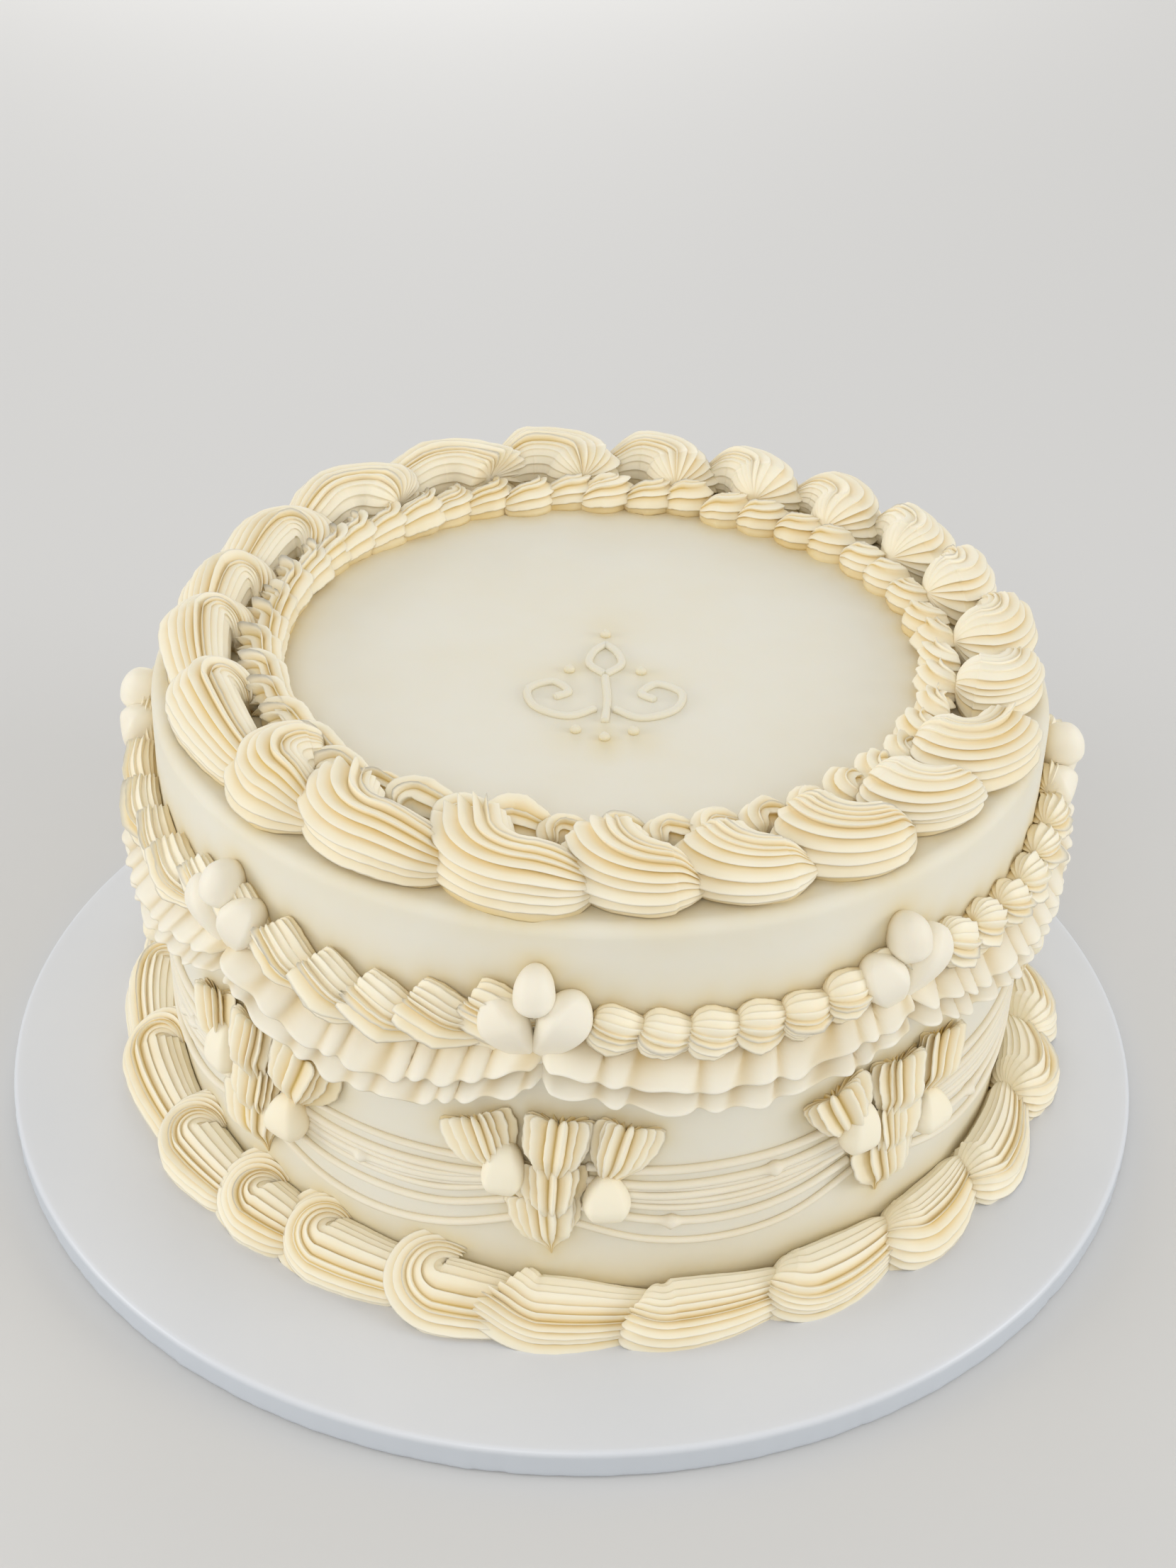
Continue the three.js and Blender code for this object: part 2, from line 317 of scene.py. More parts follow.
@dataclass(frozen=True)
class Scroll(Stroke):
    """A shell that starts across its border, turns at its head and runs out along +u.

    The nozzle comes from the -v side, bulges towards -u while it turns, and lies on the +v side after.

    Attributes:
        turn: How far it turns.
        turn_in, turn_out: How widely it swings when the turn starts and when it ends.
        arm_in, arm_out: Lengths before the turn and after it.
        reach, height: Half width and height at its fullest.
        tail: Share of that size left at its end.
        drift: How far the end strays to the -v side.
        head_relief: How deep the ridges are at the start, as a share.
        start: Share of its size at the start.
        cap, close: How long the rounded start and end are, as shares of the half width.
        shift: How far the whole shell is moved to the -v side.
        stretch: How much the turn is drawn out along u.
        waist: How deep the notch is on the inner side of the bend.
        sag: How much flatter the tail is than the head.
        fill: How much wider the tail is on its inner side.
        mirrored: Whether v is turned round.
    """

    turn: float = math.pi
    turn_in: float = 10.5 * MM
    turn_out: float = 10.5 * MM
    arm_in: float = 4.5 * MM
    arm_out: float = 14 * MM
    reach: float = 9.4 * MM
    height: float = 14.4 * MM
    tail: float = 0.6
    drift: float = 0.0
    head_relief: float = 0.6
    start: float = 0.84
    cap: float = 0.5
    shift: float = 0.0
    stretch: float = 1.15
    waist: float = 0.0
    sag: float = 0.0
    close: float = 0.5
    fill: float = 0.0
    nib: float = 0.0
    bite: float = 0.0
    mirrored: bool = False

    def head_size(self) -> float:
        """Measures the head by trial.

        Returns:
            Distance from the turn's centre to the head's far side.
        """
        stops = self.at(np.linspace(0.0, 1.0, 80))
        return -float((stops.u + stops.outer * np.cos(stops.facing) * self.stretch).min())

    def at(self, t: Array) -> Stops:
        """The rope at shares t of the stroke's length.

        Args:
            t: Shares of the stroke's length.

        Returns:
            The rope at each of them.
        """
        bend = self.turn * (self.turn_in + self.turn_out) / 2 + 2 * MM
        s = t * (self.arm_in + bend + self.arm_out)
        turned = np.clip((s - self.arm_in) / bend, 0, 1)
        before = np.clip(self.arm_in - s, 0, None)
        after = np.clip(s - self.arm_in - bend, 0, None)
        run = after / self.arm_out
        facing = -1.5 * math.pi + self.turn * (1 - ease(turned))
        heading = facing - math.pi / 2
        swing = self.turn_in + (self.turn_out - self.turn_in) * ease(turned)
        grown = s / (self.arm_in + bend)
        full = self.start + (1 - self.start) * ease(grown * 1.3)
        full = full * (1 - (1 - self.tail) * ease(run * 0.95) ** 1.2)
        ends = round_end(s, self.cap * self.reach)
        ends = ends * round_end((1 - t) * self.arm_out * 1.5, self.close * self.reach)
        outer = self.reach * full * ends
        room = swing * 0.98 + before + run * self.reach
        inner = np.minimum(outer * 0.95, room * ends) * (1 + self.fill * ease(turned * 1.3 - 0.3))
        tall = self.height * full * (1 - self.sag * ease(run * 0.9))
        lift = 0.4 * tall
        side = -1.0 if self.mirrored else 1.0
        u = swing * np.cos(facing) * self.stretch - before * np.cos(heading) + after
        v = swing * np.sin(facing) - before * np.sin(heading) - self.drift * run**1.5 - self.shift
        return Stops(
            u=u,
            v=side * v,
            lift=lift,
            facing=side * facing,
            heading=side * heading,
            outer=outer,
            inner=inner * (1 - self.waist * np.exp(-(((run - 0.1) / 0.4) ** 2))),
            rise=(tall - lift) * ends,
            sink=(lift + 3 * MM) * ends,
            relief=self.head_relief + (1 - self.head_relief) * ease(grown * 0.8),
            past=s,
            open=ends,
            stretch=self.stretch,
        )


@dataclass(frozen=True)
class Shell(Stroke):
    """A plain shell: a full head that narrows along a straight or bent line to its tail.

    Attributes:
        start, end: Where it starts and ends, u and v.
        half_width, height: Its size at its fullest.
        tail: Share of that size left at its end.
        blunt: How long its rounded start is, as a share of its width.
        fullest: Share of its length where it starts to narrow.
        bow: How far it bends aside.
        relief: How deep its ridges are.
        ramp: Share of its height at its start, from where it rises.
        foot: How far the whole shell is lifted by the icing under it.
    """

    start: tuple[float, float]
    end: tuple[float, float]
    half_width: float
    height: float
    tail: float = 0.3
    blunt: float = 0.25
    fullest: float = 0.25
    bow: float = 0.0
    relief: float = 1.0
    ramp: float = 1.0
    foot: float = 0.0
    nib: float = 0.0
    bite: float = 0.0
    press: float = 0.0

    def at(self, t: Array) -> Stops:
        """The rope at shares t of the stroke's length.

        Args:
            t: Shares of the stroke's length.

        Returns:
            The rope at each of them.
        """
        start, end = np.array(self.start), np.array(self.end)
        along = end - start
        length = float(np.hypot(*along))
        across = np.array([along[1], -along[0]]) / length
        bend = np.sin(math.pi * t)
        centre = start + np.outer(t, along) + np.outer(bend * self.bow, across)
        full = 1 - (1 - self.tail) * ease((t - self.fullest) / (1 - self.fullest))
        full = full * (0.86 + 0.14 * ease(t / self.fullest))
        ends = round_end(t * length, self.blunt * self.half_width * 2)
        ends = ends * round_end((1 - t) * length, 1.25 * self.half_width * max(self.tail, 0.2))
        width = self.half_width * full * ends
        tall = self.height * full * (self.ramp + (1 - self.ramp) * ease(t / 0.5))
        lift = 0.38 * tall + self.foot
        heading = math.atan2(along[1], along[0])
        return Stops(
            u=centre[:, 0],
            v=centre[:, 1],
            lift=lift,
            facing=np.full_like(t, heading + math.pi / 2),
            heading=np.full_like(t, heading),
            outer=width,
            inner=width,
            rise=0.62 * tall * ends,
            sink=(lift + 1.5 * MM) * ends,
            relief=np.full_like(t, self.relief),
            past=t * length,
            open=ends,
        )


@dataclass(frozen=True)
class Thread(Stroke):
    """A thin round string laid through a few points."""

    points: tuple[tuple[float, float], ...]
    radius: float
    blob: float = 0.0
    blob_at: float = 0.5

    def at(self, t: Array) -> Stops:
        """The string at shares t of its length.

        Args:
            t: Shares of the stroke's length.

        Returns:
            The rope at each of them.
        """
        path = np.array(self.points, float)
        centre = spline(path, t)
        step = 1e-3
        course = spline(path, t + step) - spline(path, t - step)
        heading = np.arctan2(course[:, 1], course[:, 0])
        ends = round_end(t, 0.01) * round_end(1 - t, 0.01)
        thick = self.radius * ends * (1 + self.blob * np.exp(-(((t - self.blob_at) / 0.02) ** 2)))
        return Stops(
            u=centre[:, 0],
            v=centre[:, 1],
            lift=0.4 * thick,
            facing=heading + math.pi / 2,
            heading=heading,
            outer=thick,
            inner=thick,
            rise=thick,
            sink=thick,
            relief=np.zeros_like(t),
            past=t * 100 * MM,
            open=ends,
        )


# ---- Piping: what the bag leaves ----------------------------------------------------------------


@dataclass(frozen=True)
class Nozzle:
    """A nozzle, known by the rope it leaves.

    Attributes:
        ridges: Ridges round the whole rope, none for a plain nozzle.
        groove: Depth of the grooves, as a share of the rope's half width.
        points: Mesh points from one ridge to the next, or round a plain rope.
        ragged: How far the ridges' crests waver, as a share of the half width.
        droop: How far the crests lean down, as a share of their pitch.
        skirt: Extra reach of the crests close to the floor, as a share of the half width.
        calm: How much smoother than the rest the inner flank is.
        layered: Whether its bands overhang each other; if not, its ridges stand up evenly.
    """

    ridges: int
    groove: float = 0.0
    points: int = 6
    ragged: float = 0.0
    droop: float = 0.0
    skirt: float = 0.0
    calm: float = 0.0
    layered: bool = True

    @property
    def sides(self) -> int:
        """Mesh points round the rope."""
        return max(self.ridges, 1) * self.points

    def section(
        self, x: Array, t: Array, relief: Array, bite: Array, rng: np.random.Generator
    ) -> tuple[Array, Array, Array]:
        """Shape of the rope's section: bands with a crisp lower edge over the next band, or even ridges.

        Args:
            x: Shares of the way round the rope.
            t: Shares of the stroke's length.
            relief: How deep the ridges are at the head's crown.
            bite: How much deeper than usual the grooves are.
            rng: Source of the hand's unevenness.

        Returns:
            The angle round the rope, the half width as a factor, and how deep in a groove each point lies.
        """
        if not self.ridges:
            return TAU * x, np.ones_like(t), np.zeros_like(t)
        count = self.ridges
        ridge = np.floor(x * count + 1e-6)
        share = np.clip(x * count - ridge, 0, 1)
        even = np.linspace(0, 1, 7)
        knots = (0, 0.07, 0.35, 0.62, 0.88, 0.94, 1) if self.layered else (0, 0.1, 0.3, 0.5, 0.7, 0.9, 1)
        deepest = 0.88 if self.layered else 0.5
        outside = np.cos(TAU * (ridge + 0.5) / count) > 0
        share = np.where(outside, np.interp(share, even, knots), 1 - np.interp(1 - share, even, knots))
        angle = TAU * (ridge + share) / count
        from_edge = np.where(outside, share, 1 - share)
        near_edge = from_edge < deepest
        owner = np.where(outside == near_edge, ridge, ridge + 1).astype(int) % count
        for waves, amount in ((2, 0.08), (3, 0.05), (5, 0.03)):
            phase = rng.uniform(0, TAU)
            angle = angle + amount * (np.sin(waves * angle + phase) - math.sin(phase))
        groove = np.minimum(from_edge / deepest, (1 - from_edge) / (1 - deepest))
        if not self.layered:
            groove = groove**1.4
        crest = 1 - groove
        valley = rng.uniform(0.75, 1.15, count)[ridge.astype(int) % count]
        tall = rng.normal(0, 0.3, count)[owner] * self.groove
        phases = rng.uniform(0, TAU, (3, count))
        waver = np.zeros_like(t)
        for layer, waves in enumerate((1.1, 3.3, 8.7)):
            waver = waver + np.sin(TAU * waves * t + phases[layer][owner]) / (1 + 0.4 * layer)
        flank = np.cos(angle)
        inner = 1 - self.calm * ease(-1.6 * flank - 0.25)
        low = np.exp(-((np.maximum(np.sin(angle), 0) / 0.3) ** 2)) * inner
        strength = np.maximum(relief * inner, 0.95 * ease(2.2 * flank - 1.2 * (1 - relief)))
        strength = np.maximum(strength, 0.9 * low)
        factor = 1 - np.minimum(self.groove * strength * (1 + bite) * valley, 0.75) * groove
        factor = factor + crest * strength * (self.ragged * waver + tall + self.skirt * low)
        angle = angle - flank * self.droop * crest * strength * TAU / count
        return angle, factor, groove * strength


PLAIN_NOZZLE = Nozzle(ridges=0, points=32)
STRING_NOZZLE = Nozzle(ridges=0, points=9)


class Piping:
    """Icing that collects in one mesh, stroke by stroke, and becomes one piece.

    Attributes:
        laid: Points of all the icing laid so far, strings apart, which tell how near to it the coat is, for
            the coat's painted shade.
        tip_length: How far from its start a rope still shows its ridges' tips.
        foot_depth: How far above its foot the icing gets painted contact shade, which fades out over this
            height.
        rng: Source of the hand's unevenness.
    """

    laid: list[Array] = []
    tip_length: float = 4 * MM
    foot_depth: float = 1.5 * MM

    def __init__(self, seed: int) -> None:
        """Starts with an empty mesh that carries each point's amount of painted shade.

        Args:
            seed: Seed of the hand's unevenness.
        """
        self.mesh = bmesh.new()
        # Painted shade: how much of the cream's warm shade colour each point gets.
        self.hollow = self.mesh.verts.layers.float.new("hollow")
        self.rng = np.random.default_rng(seed)

    def pipe(self, stroke: Stroke, nozzle: Nozzle, place: Place | FlatPlace, rows: int) -> None:
        """Lays one rope: a flat grid rolled up round the stroke's line.

        Args:
            stroke: What the hand does.
            nozzle: What the rope's section is.
            place: Where on the cake it is done.
            rows: Mesh rows along the stroke.
        """
        made = bmesh.ops.create_grid(self.mesh, x_segments=nozzle.sides, y_segments=rows, size=0.5)["verts"]
        plan = np.clip(np.array([vert.co[:2] for vert in made]) + 0.5, 0.0, 1.0)
        t = 0.55 * plan[:, 1] + 0.45 * (0.5 - 0.5 * np.cos(math.pi * plan[:, 1]))
        stops = stroke.at(t)
        near_start = np.exp(-((stops.past / self.tip_length) ** 2))
        bite = stroke.bite * near_start
        around, factor, depth = nozzle.section(plan[:, 0], t, stops.relief, bite, self.rng)
        cosine, sine = np.cos(around), np.sin(around)
        across = cosine * np.where(cosine > 0, stops.outer, stops.inner) * factor
        w = stops.lift + sine * np.where(sine > 0, stops.rise, stops.sink) * factor
        crown = np.maximum(sine, 0)
        tip = (1 - depth) * (1 - nozzle.calm * ease(-1.6 * cosine)) + 0.6 * crown
        pull = -stroke.nib * stops.open * near_start * tip
        w = w - 0.2 * pull * crown
        u = stops.u + across * np.cos(stops.facing) * stops.stretch + pull * np.cos(stops.heading)
        v = stops.v + across * np.sin(stops.facing) + pull * np.sin(stops.heading)
        if stroke.press:
            over = w + 0.45 * (v - stops.v) - (1 - stroke.press) * (stops.lift + stops.rise)
            w = w - np.maximum(over, 0) * 0.85
        # Painted shade: deepest in the grooves and at the foot, where the icing meets the surface below.
        low = np.exp(-np.maximum(w, 0) / self.foot_depth)
        depth = np.clip(depth**1.9 + 0.7 * low, 0, 1)
        points = place.to_world(u, v, w)
        # Strings get half as much painted shade.
        if nozzle is STRING_NOZZLE:
            depth = 0.5 * depth
        else:
            Piping.laid.append(points[::5])
        for vert, point, hollow in zip(made, points, depth):
            vert.co = point
            vert[self.hollow] = hollow
        bmesh.ops.remove_doubles(self.mesh, verts=made, dist=1e-6)

    def finish(self, name: str, finish: "Finish", slot: Slot, *nodes: str) -> None:
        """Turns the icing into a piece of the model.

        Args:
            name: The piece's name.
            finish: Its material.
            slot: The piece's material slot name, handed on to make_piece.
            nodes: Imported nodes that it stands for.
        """
        bmesh.ops.recalc_face_normals(self.mesh, faces=self.mesh.faces)
        make_piece(self.mesh, name, finish, slot, *nodes)


def make_piece(mesh: bmesh.types.BMesh, name: str, finish: "Finish", slot: Slot, *nodes: str) -> None:
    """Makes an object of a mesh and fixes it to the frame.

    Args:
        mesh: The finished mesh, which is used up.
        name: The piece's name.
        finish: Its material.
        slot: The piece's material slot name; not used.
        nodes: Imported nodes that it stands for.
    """
    data = bpy.data.meshes.new(name)
    mesh.to_mesh(data)
    mesh.free()
    data.shade_smooth()
    data.materials.append(finish.material())
    piece = bpy.data.objects.new(name, data)
    bpy.context.scene.collection.objects.link(piece)
    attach(piece, BODY)
    if nodes:
        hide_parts(*nodes)
    log.info("%s: %d faces, for %s", name, len(data.polygons), ", ".join(nodes) or "the looks only")


# ---- Finishes -----------------------------------------------------------------------------------


def linear(red: int, green: int, blue: int) -> tuple[float, float, float, float]:
    """A colour as a screen shows it, from 0 to 255, as the light that it stands for."""
    parts = [(c / 255 / 12.92) if c <= 10 else ((c / 255 + 0.055) / 1.055) ** 2.4 for c in (red, green, blue)]
    return (parts[0], parts[1], parts[2], 1.0)


class Finish(ABC):
    """A material that is made once and then shared."""

    made: dict[str, bpy.types.Material] = {}
    name: str

    def material(self) -> bpy.types.Material:
        """Builds the material at its first use.

        Returns:
            The material.
        """
        if self.name not in Finish.made:
            material = bpy.data.materials.new(self.name)
            material.use_nodes = True
            self.build(material.node_tree)
            Finish.made[self.name] = material
        return Finish.made[self.name]

    @abstractmethod
    def build(self, tree: bpy.types.NodeTree) -> None:
        """Fills the node tree.

        Args:
            tree: The material's node tree.
        """


def add_node(tree: bpy.types.NodeTree, kind: str, **values: object) -> bpy.types.Node:
    """Adds a node and sets its inputs or its own settings by name.

    Args:
        tree: The tree it goes in.
        kind: The node's Blender type.
        values: Inputs, with _ for a space, or settings of the node.

    Returns:
        The node.
    """
    node = tree.nodes.new(kind)
    for key, value in values.items():
        socket = node.inputs.get(key.replace("_", " "))
        if socket is not None:
            socket.default_value = value
        else:
            setattr(node, key, value)
    return node


def add_noise(
    tree: bpy.types.NodeTree, scale: float, detail: float, roughness: float
) -> bpy.types.NodeSocket:
    """Adds a noise that is read in the object's own coordinates.

    Args:
        tree: The tree it goes in.
        scale: How fine it is.
        detail: Its number of layers.
        roughness: How strong the finer layers are.

    Returns:
        The noise's output.
    """
    place = add_node(tree, "ShaderNodeTexCoord")
    noise = add_node(tree, "ShaderNodeTexNoise", Scale=scale, Detail=detail, Roughness=roughness)
    tree.links.new(place.outputs["Object"], noise.inputs["Vector"])
    return noise.outputs["Fac"]


def add_mix(
    tree: bpy.types.NodeTree,
    factor: bpy.types.NodeSocket,
    first: bpy.types.NodeSocket | tuple[float, ...],
    second: tuple[float, ...],
) -> bpy.types.NodeSocket:
    """Adds a mix of two colours.

    Args:
        tree: The tree it goes in.
        factor: How much of the second colour there is.
        first: A colour, or another node's output.
        second: A colour.

    Returns:
        The mix's output.
    """
    mix = add_node(tree, "ShaderNodeMix", data_type="RGBA")
    tree.links.new(factor, mix.inputs["Factor"])
    if isinstance(first, tuple):
        mix.inputs[6].default_value = first
    else:
        tree.links.new(first, mix.inputs[6])
    mix.inputs[7].default_value = second
    return mix.outputs[2]


def add_bump(
    tree: bpy.types.NodeTree, height: bpy.types.NodeSocket, strength: float, distance: float
) -> bpy.types.Node:
    """Adds a bump.

    Args:
        tree: The tree it goes in.
        height: Another node's output.
        strength: Its strength.
        distance: What a height of 1 stands for.

    Returns:
        The bump's node.
    """
    bump = add_node(tree, "ShaderNodeBump", Strength=strength, Distance=distance)
    tree.links.new(height, bump.inputs["Height"])
    return bump


@dataclass(frozen=True)
class Buttercream(Finish):
    """Buttercream: soft, faintly translucent, with painted warm shade in its grooves and folds, at its foot
    and beside other piping.
    """

    name: str
    crest: tuple[float, float, float, float]
    hollow: tuple[float, float, float, float]
    roughness: float = 0.5
    grain: float = 0.1
    grain_scale: float = 900.0
    mottle: float = 0.35
    translucency: float = 0.14

    def build(self, tree: bpy.types.NodeTree) -> None:
        """Mixes the cream towards its painted shade colour by each point's painted shade amount, mottles them
        and pits the surface.

        Args:
            tree: The material's node tree.
        """
        link = tree.links.new
        shader = tree.nodes["Principled BSDF"]
        shader.inputs["Roughness"].default_value = self.roughness
        shader.inputs["IOR"].default_value = 1.42
        shader.inputs["Specular IOR Level"].default_value = 0.3
        shader.inputs["Subsurface Weight"].default_value = self.translucency
        shader.inputs["Subsurface Radius"].default_value = (1.0, 0.75, 0.45)
        shader.inputs["Subsurface Scale"].default_value = 2 * MM
        # Painted shade: each point's painted shade amount, plus random mottle, mixes the cream towards its
        # shade colour.
        hollow = add_node(tree, "ShaderNodeAttribute", attribute_name="hollow")
        half = 0.5 * self.mottle
        spread = add_node(tree, "ShaderNodeMapRange", From_Min=0.3, From_Max=0.7, To_Min=-half, To_Max=half)
        link(add_noise(tree, 38.0, 3.0, 0.55), spread.inputs["Value"])
        total = add_node(tree, "ShaderNodeMath", operation="ADD", use_clamp=True)
        link(hollow.outputs["Fac"], total.inputs[0])
        link(spread.outputs["Result"], total.inputs[1])
        link(add_mix(tree, total.outputs["Value"], self.crest, self.hollow), shader.inputs["Base Color"])
        soft = add_bump(tree, add_noise(tree, 130.0, 2.0, 0.5), 0.25, 0.6 * MM)
        fine = add_bump(tree, add_noise(tree, self.grain_scale, 2.0, 0.6), self.grain, 0.15 * MM)
        link(soft.outputs["Normal"], fine.inputs["Normal"])
        link(fine.outputs["Normal"], shader.inputs["Normal"])


@dataclass(frozen=True)
class BoardWrap(Finish):
    """The board's satin white wrap, faintly crinkled, with painted cool shade on the lower part of its edge,
    where it is folded over.
    """

    name: str = "board_wrap"
    colour: tuple[float, float, float, float] = linear(229, 230, 232)
    shade: tuple[float, float, float, float] = linear(218, 221, 226)
    # Painted shade: darker, cooler colour for the lower part of the board's upright edge.
    edge: tuple[float, float, float, float] = linear(203, 208, 214)
    roughness: float = 0.32

    def build(self, tree: bpy.types.NodeTree) -> None:
        """Clouds the white a little, paints cool shade down the edge and crinkles it.

        Args:
            tree: The material's node tree.
        """
        link = tree.links.new
        shader = tree.nodes["Principled BSDF"]
        shader.inputs["Roughness"].default_value = self.roughness
        shader.inputs["IOR"].default_value = 1.46
        clouded = add_mix(tree, add_noise(tree, 14.0, 3.0, 0.5), self.colour, self.shade)
        place = add_node(tree, "ShaderNodeTexCoord")
        axes = add_node(tree, "ShaderNodeSeparateXYZ")
        link(place.outputs["Object"], axes.inputs["Vector"])
        # Painted shade: the colour turns to the edge's shade colour between 8.4 and 6.6 mm up.
        depth = add_node(tree, "ShaderNodeMapRange", From_Min=8.4 * MM, From_Max=6.6 * MM)
        link(axes.outputs["Z"], depth.inputs["Value"])
        link(add_mix(tree, depth.outputs["Result"], clouded, self.edge), shader.inputs["Base Color"])
        bump = add_bump(tree, add_noise(tree, 260.0, 3.0, 0.6), 0.12, 0.3 * MM)
        link(bump.outputs["Normal"], shader.inputs["Normal"])


@dataclass(frozen=True)
class FloorPaint(Finish):
    """The matt pale floor."""

    name: str = "floor_paint"
    colour: tuple[float, float, float, float] = linear(216, 215, 213)

    def build(self, tree: bpy.types.NodeTree) -> None:
        """Sets one matt colour.

        Args:
            tree: The material's node tree.
        """
        shader = tree.nodes["Principled BSDF"]
        shader.inputs["Base Color"].default_value = self.colour
        shader.inputs["Roughness"].default_value = 0.7
        shader.inputs["Specular IOR Level"].default_value = 0.2


# Each cream's second colour is painted warm shade, for grooves, folds, feet and the coat beside the piping.
PIPED_CREAM = Buttercream("piped_cream", linear(251, 242, 218), linear(226, 194, 116), mottle=0.22)
PALE_CREAM = Buttercream("pale_cream", linear(246, 239, 221), linear(208, 180, 114), mottle=0.15)
SMOOTH_CREAM = Buttercream(
    "smooth_cream", linear(235, 231, 217), linear(228, 210, 158), roughness=0.6, grain=0.06, mottle=0.12
)
BOARD_WRAP = BoardWrap()
FLOOR_PAINT = FloorPaint()


# ---- The board and the cake ---------------------------------------------------------------------


def spin_profile(profile: list[tuple[float, float]], steps: int) -> bmesh.types.BMesh:
    """Spins an outline of radius and height, from axis to axis, into a closed round body.

    Args:
        profile: Radius and height of each corner; the first and the last lie on the axis.
        steps: Facets round the body.

    Returns:
        The closed mesh.
    """
    mesh = bmesh.new()
    start = bmesh.ops.create_vert(mesh, co=(profile[0][0], 0, profile[0][1]))["vert"][0]
    for radius, height in profile[1:]:
        stretch = bmesh.ops.extrude_vert_indiv(mesh, verts=[start])
        start = stretch["verts"][0]
        start.co = (radius, 0, height)
    geometry = mesh.verts[:] + mesh.edges[:]
    bmesh.ops.spin(
        mesh,
        geom=geometry,
        cent=(0, 0, 0),
        axis=(0, 0, 1),
        angle=TAU,
        steps=steps,
        use_merge=True,
        dvec=(0, 0, 0),
    )
    bmesh.ops.remove_doubles(mesh, verts=mesh.verts, dist=1e-6)
    bmesh.ops.recalc_face_normals(mesh, faces=mesh.faces)
    return mesh


def arc(
    middle: tuple[float, float], radius: float, start: float, end: float, steps: int
) -> list[tuple[float, float]]:
    """Corners of a round stretch of an outline.

    Args:
        middle: Its centre.
        radius: Its radius.
        start: Angle of its first corner, in degrees.
        end: Angle of its last corner, in degrees.
        steps: Number of stretches.

    Returns:
        The corners, both ends included.
    """
    turns = [math.radians(start + (end - start) * i / steps) for i in range(steps + 1)]
    return [(middle[0] + radius * math.cos(a), middle[1] + radius * math.sin(a)) for a in turns]


@dataclass(frozen=True)
class Board:
    """The round drum board in its white wrap, with small pleats where the wrap turns under."""

    form: CakeForm
    rim: float = 1.4 * MM
    pleats: int = 46
    pleat_depth: float = 0.45 * MM
    steps: int = 720

    def build(self) -> None:
        """Spins the drum and folds the wrap at its edge."""
        radius, top, rim = self.form.board_radius, self.form.board_top, self.rim
        levels = [rim + (top - 2 * rim) * i / 6 for i in range(1, 6)]
        rings = [(radius * share, top) for share in (0.98, 0.9, 0.8, 0.6, 0.3, 0.0)]
        profile = [(0.0, 0.0)]
        profile += arc((radius - rim, rim), rim, -90, 0, 3)
        profile += [(radius, level) for level in levels]
        profile += arc((radius - rim, top - rim), rim, 0, 90, 4) + rings
        mesh = spin_profile(profile, self.steps)
        self.fold(mesh)
        make_piece(mesh, "wrapped_board", BOARD_WRAP, Slot.BOARD, "board")

    def fold(self, mesh: bmesh.types.BMesh) -> None:
        """Presses pleats and nicks into the edge, deepest at the underside.

        Args:
            mesh: The spun drum.
        """
        rng = np.random.default_rng(5)
        folds = np.sort(rng.uniform(-math.pi, math.pi, self.pleats))
        depths = rng.uniform(-1.0, 1.0, self.pleats)
        for vert in mesh.verts:
            radius = math.hypot(vert.co.x, vert.co.y)
            if radius < self.form.board_radius - 2.5 * self.rim:
                continue
            angle = math.atan2(vert.co.y, vert.co.x)
            offset = (angle - folds + math.pi) % TAU - math.pi
            near = np.exp(-((offset * self.form.board_radius / (1.1 * MM)) ** 2))
            lower = 1 - vert.co.z / self.form.board_top
            push = self.pleat_depth * float((near * depths).sum()) * (0.15 + 0.85 * lower)
            push -= 0.12 * MM * lower * (1 + math.sin(angle * 97) * math.sin(angle * 41))
            vert.co.x *= 1 + push / radius
            vert.co.y *= 1 + push / radius


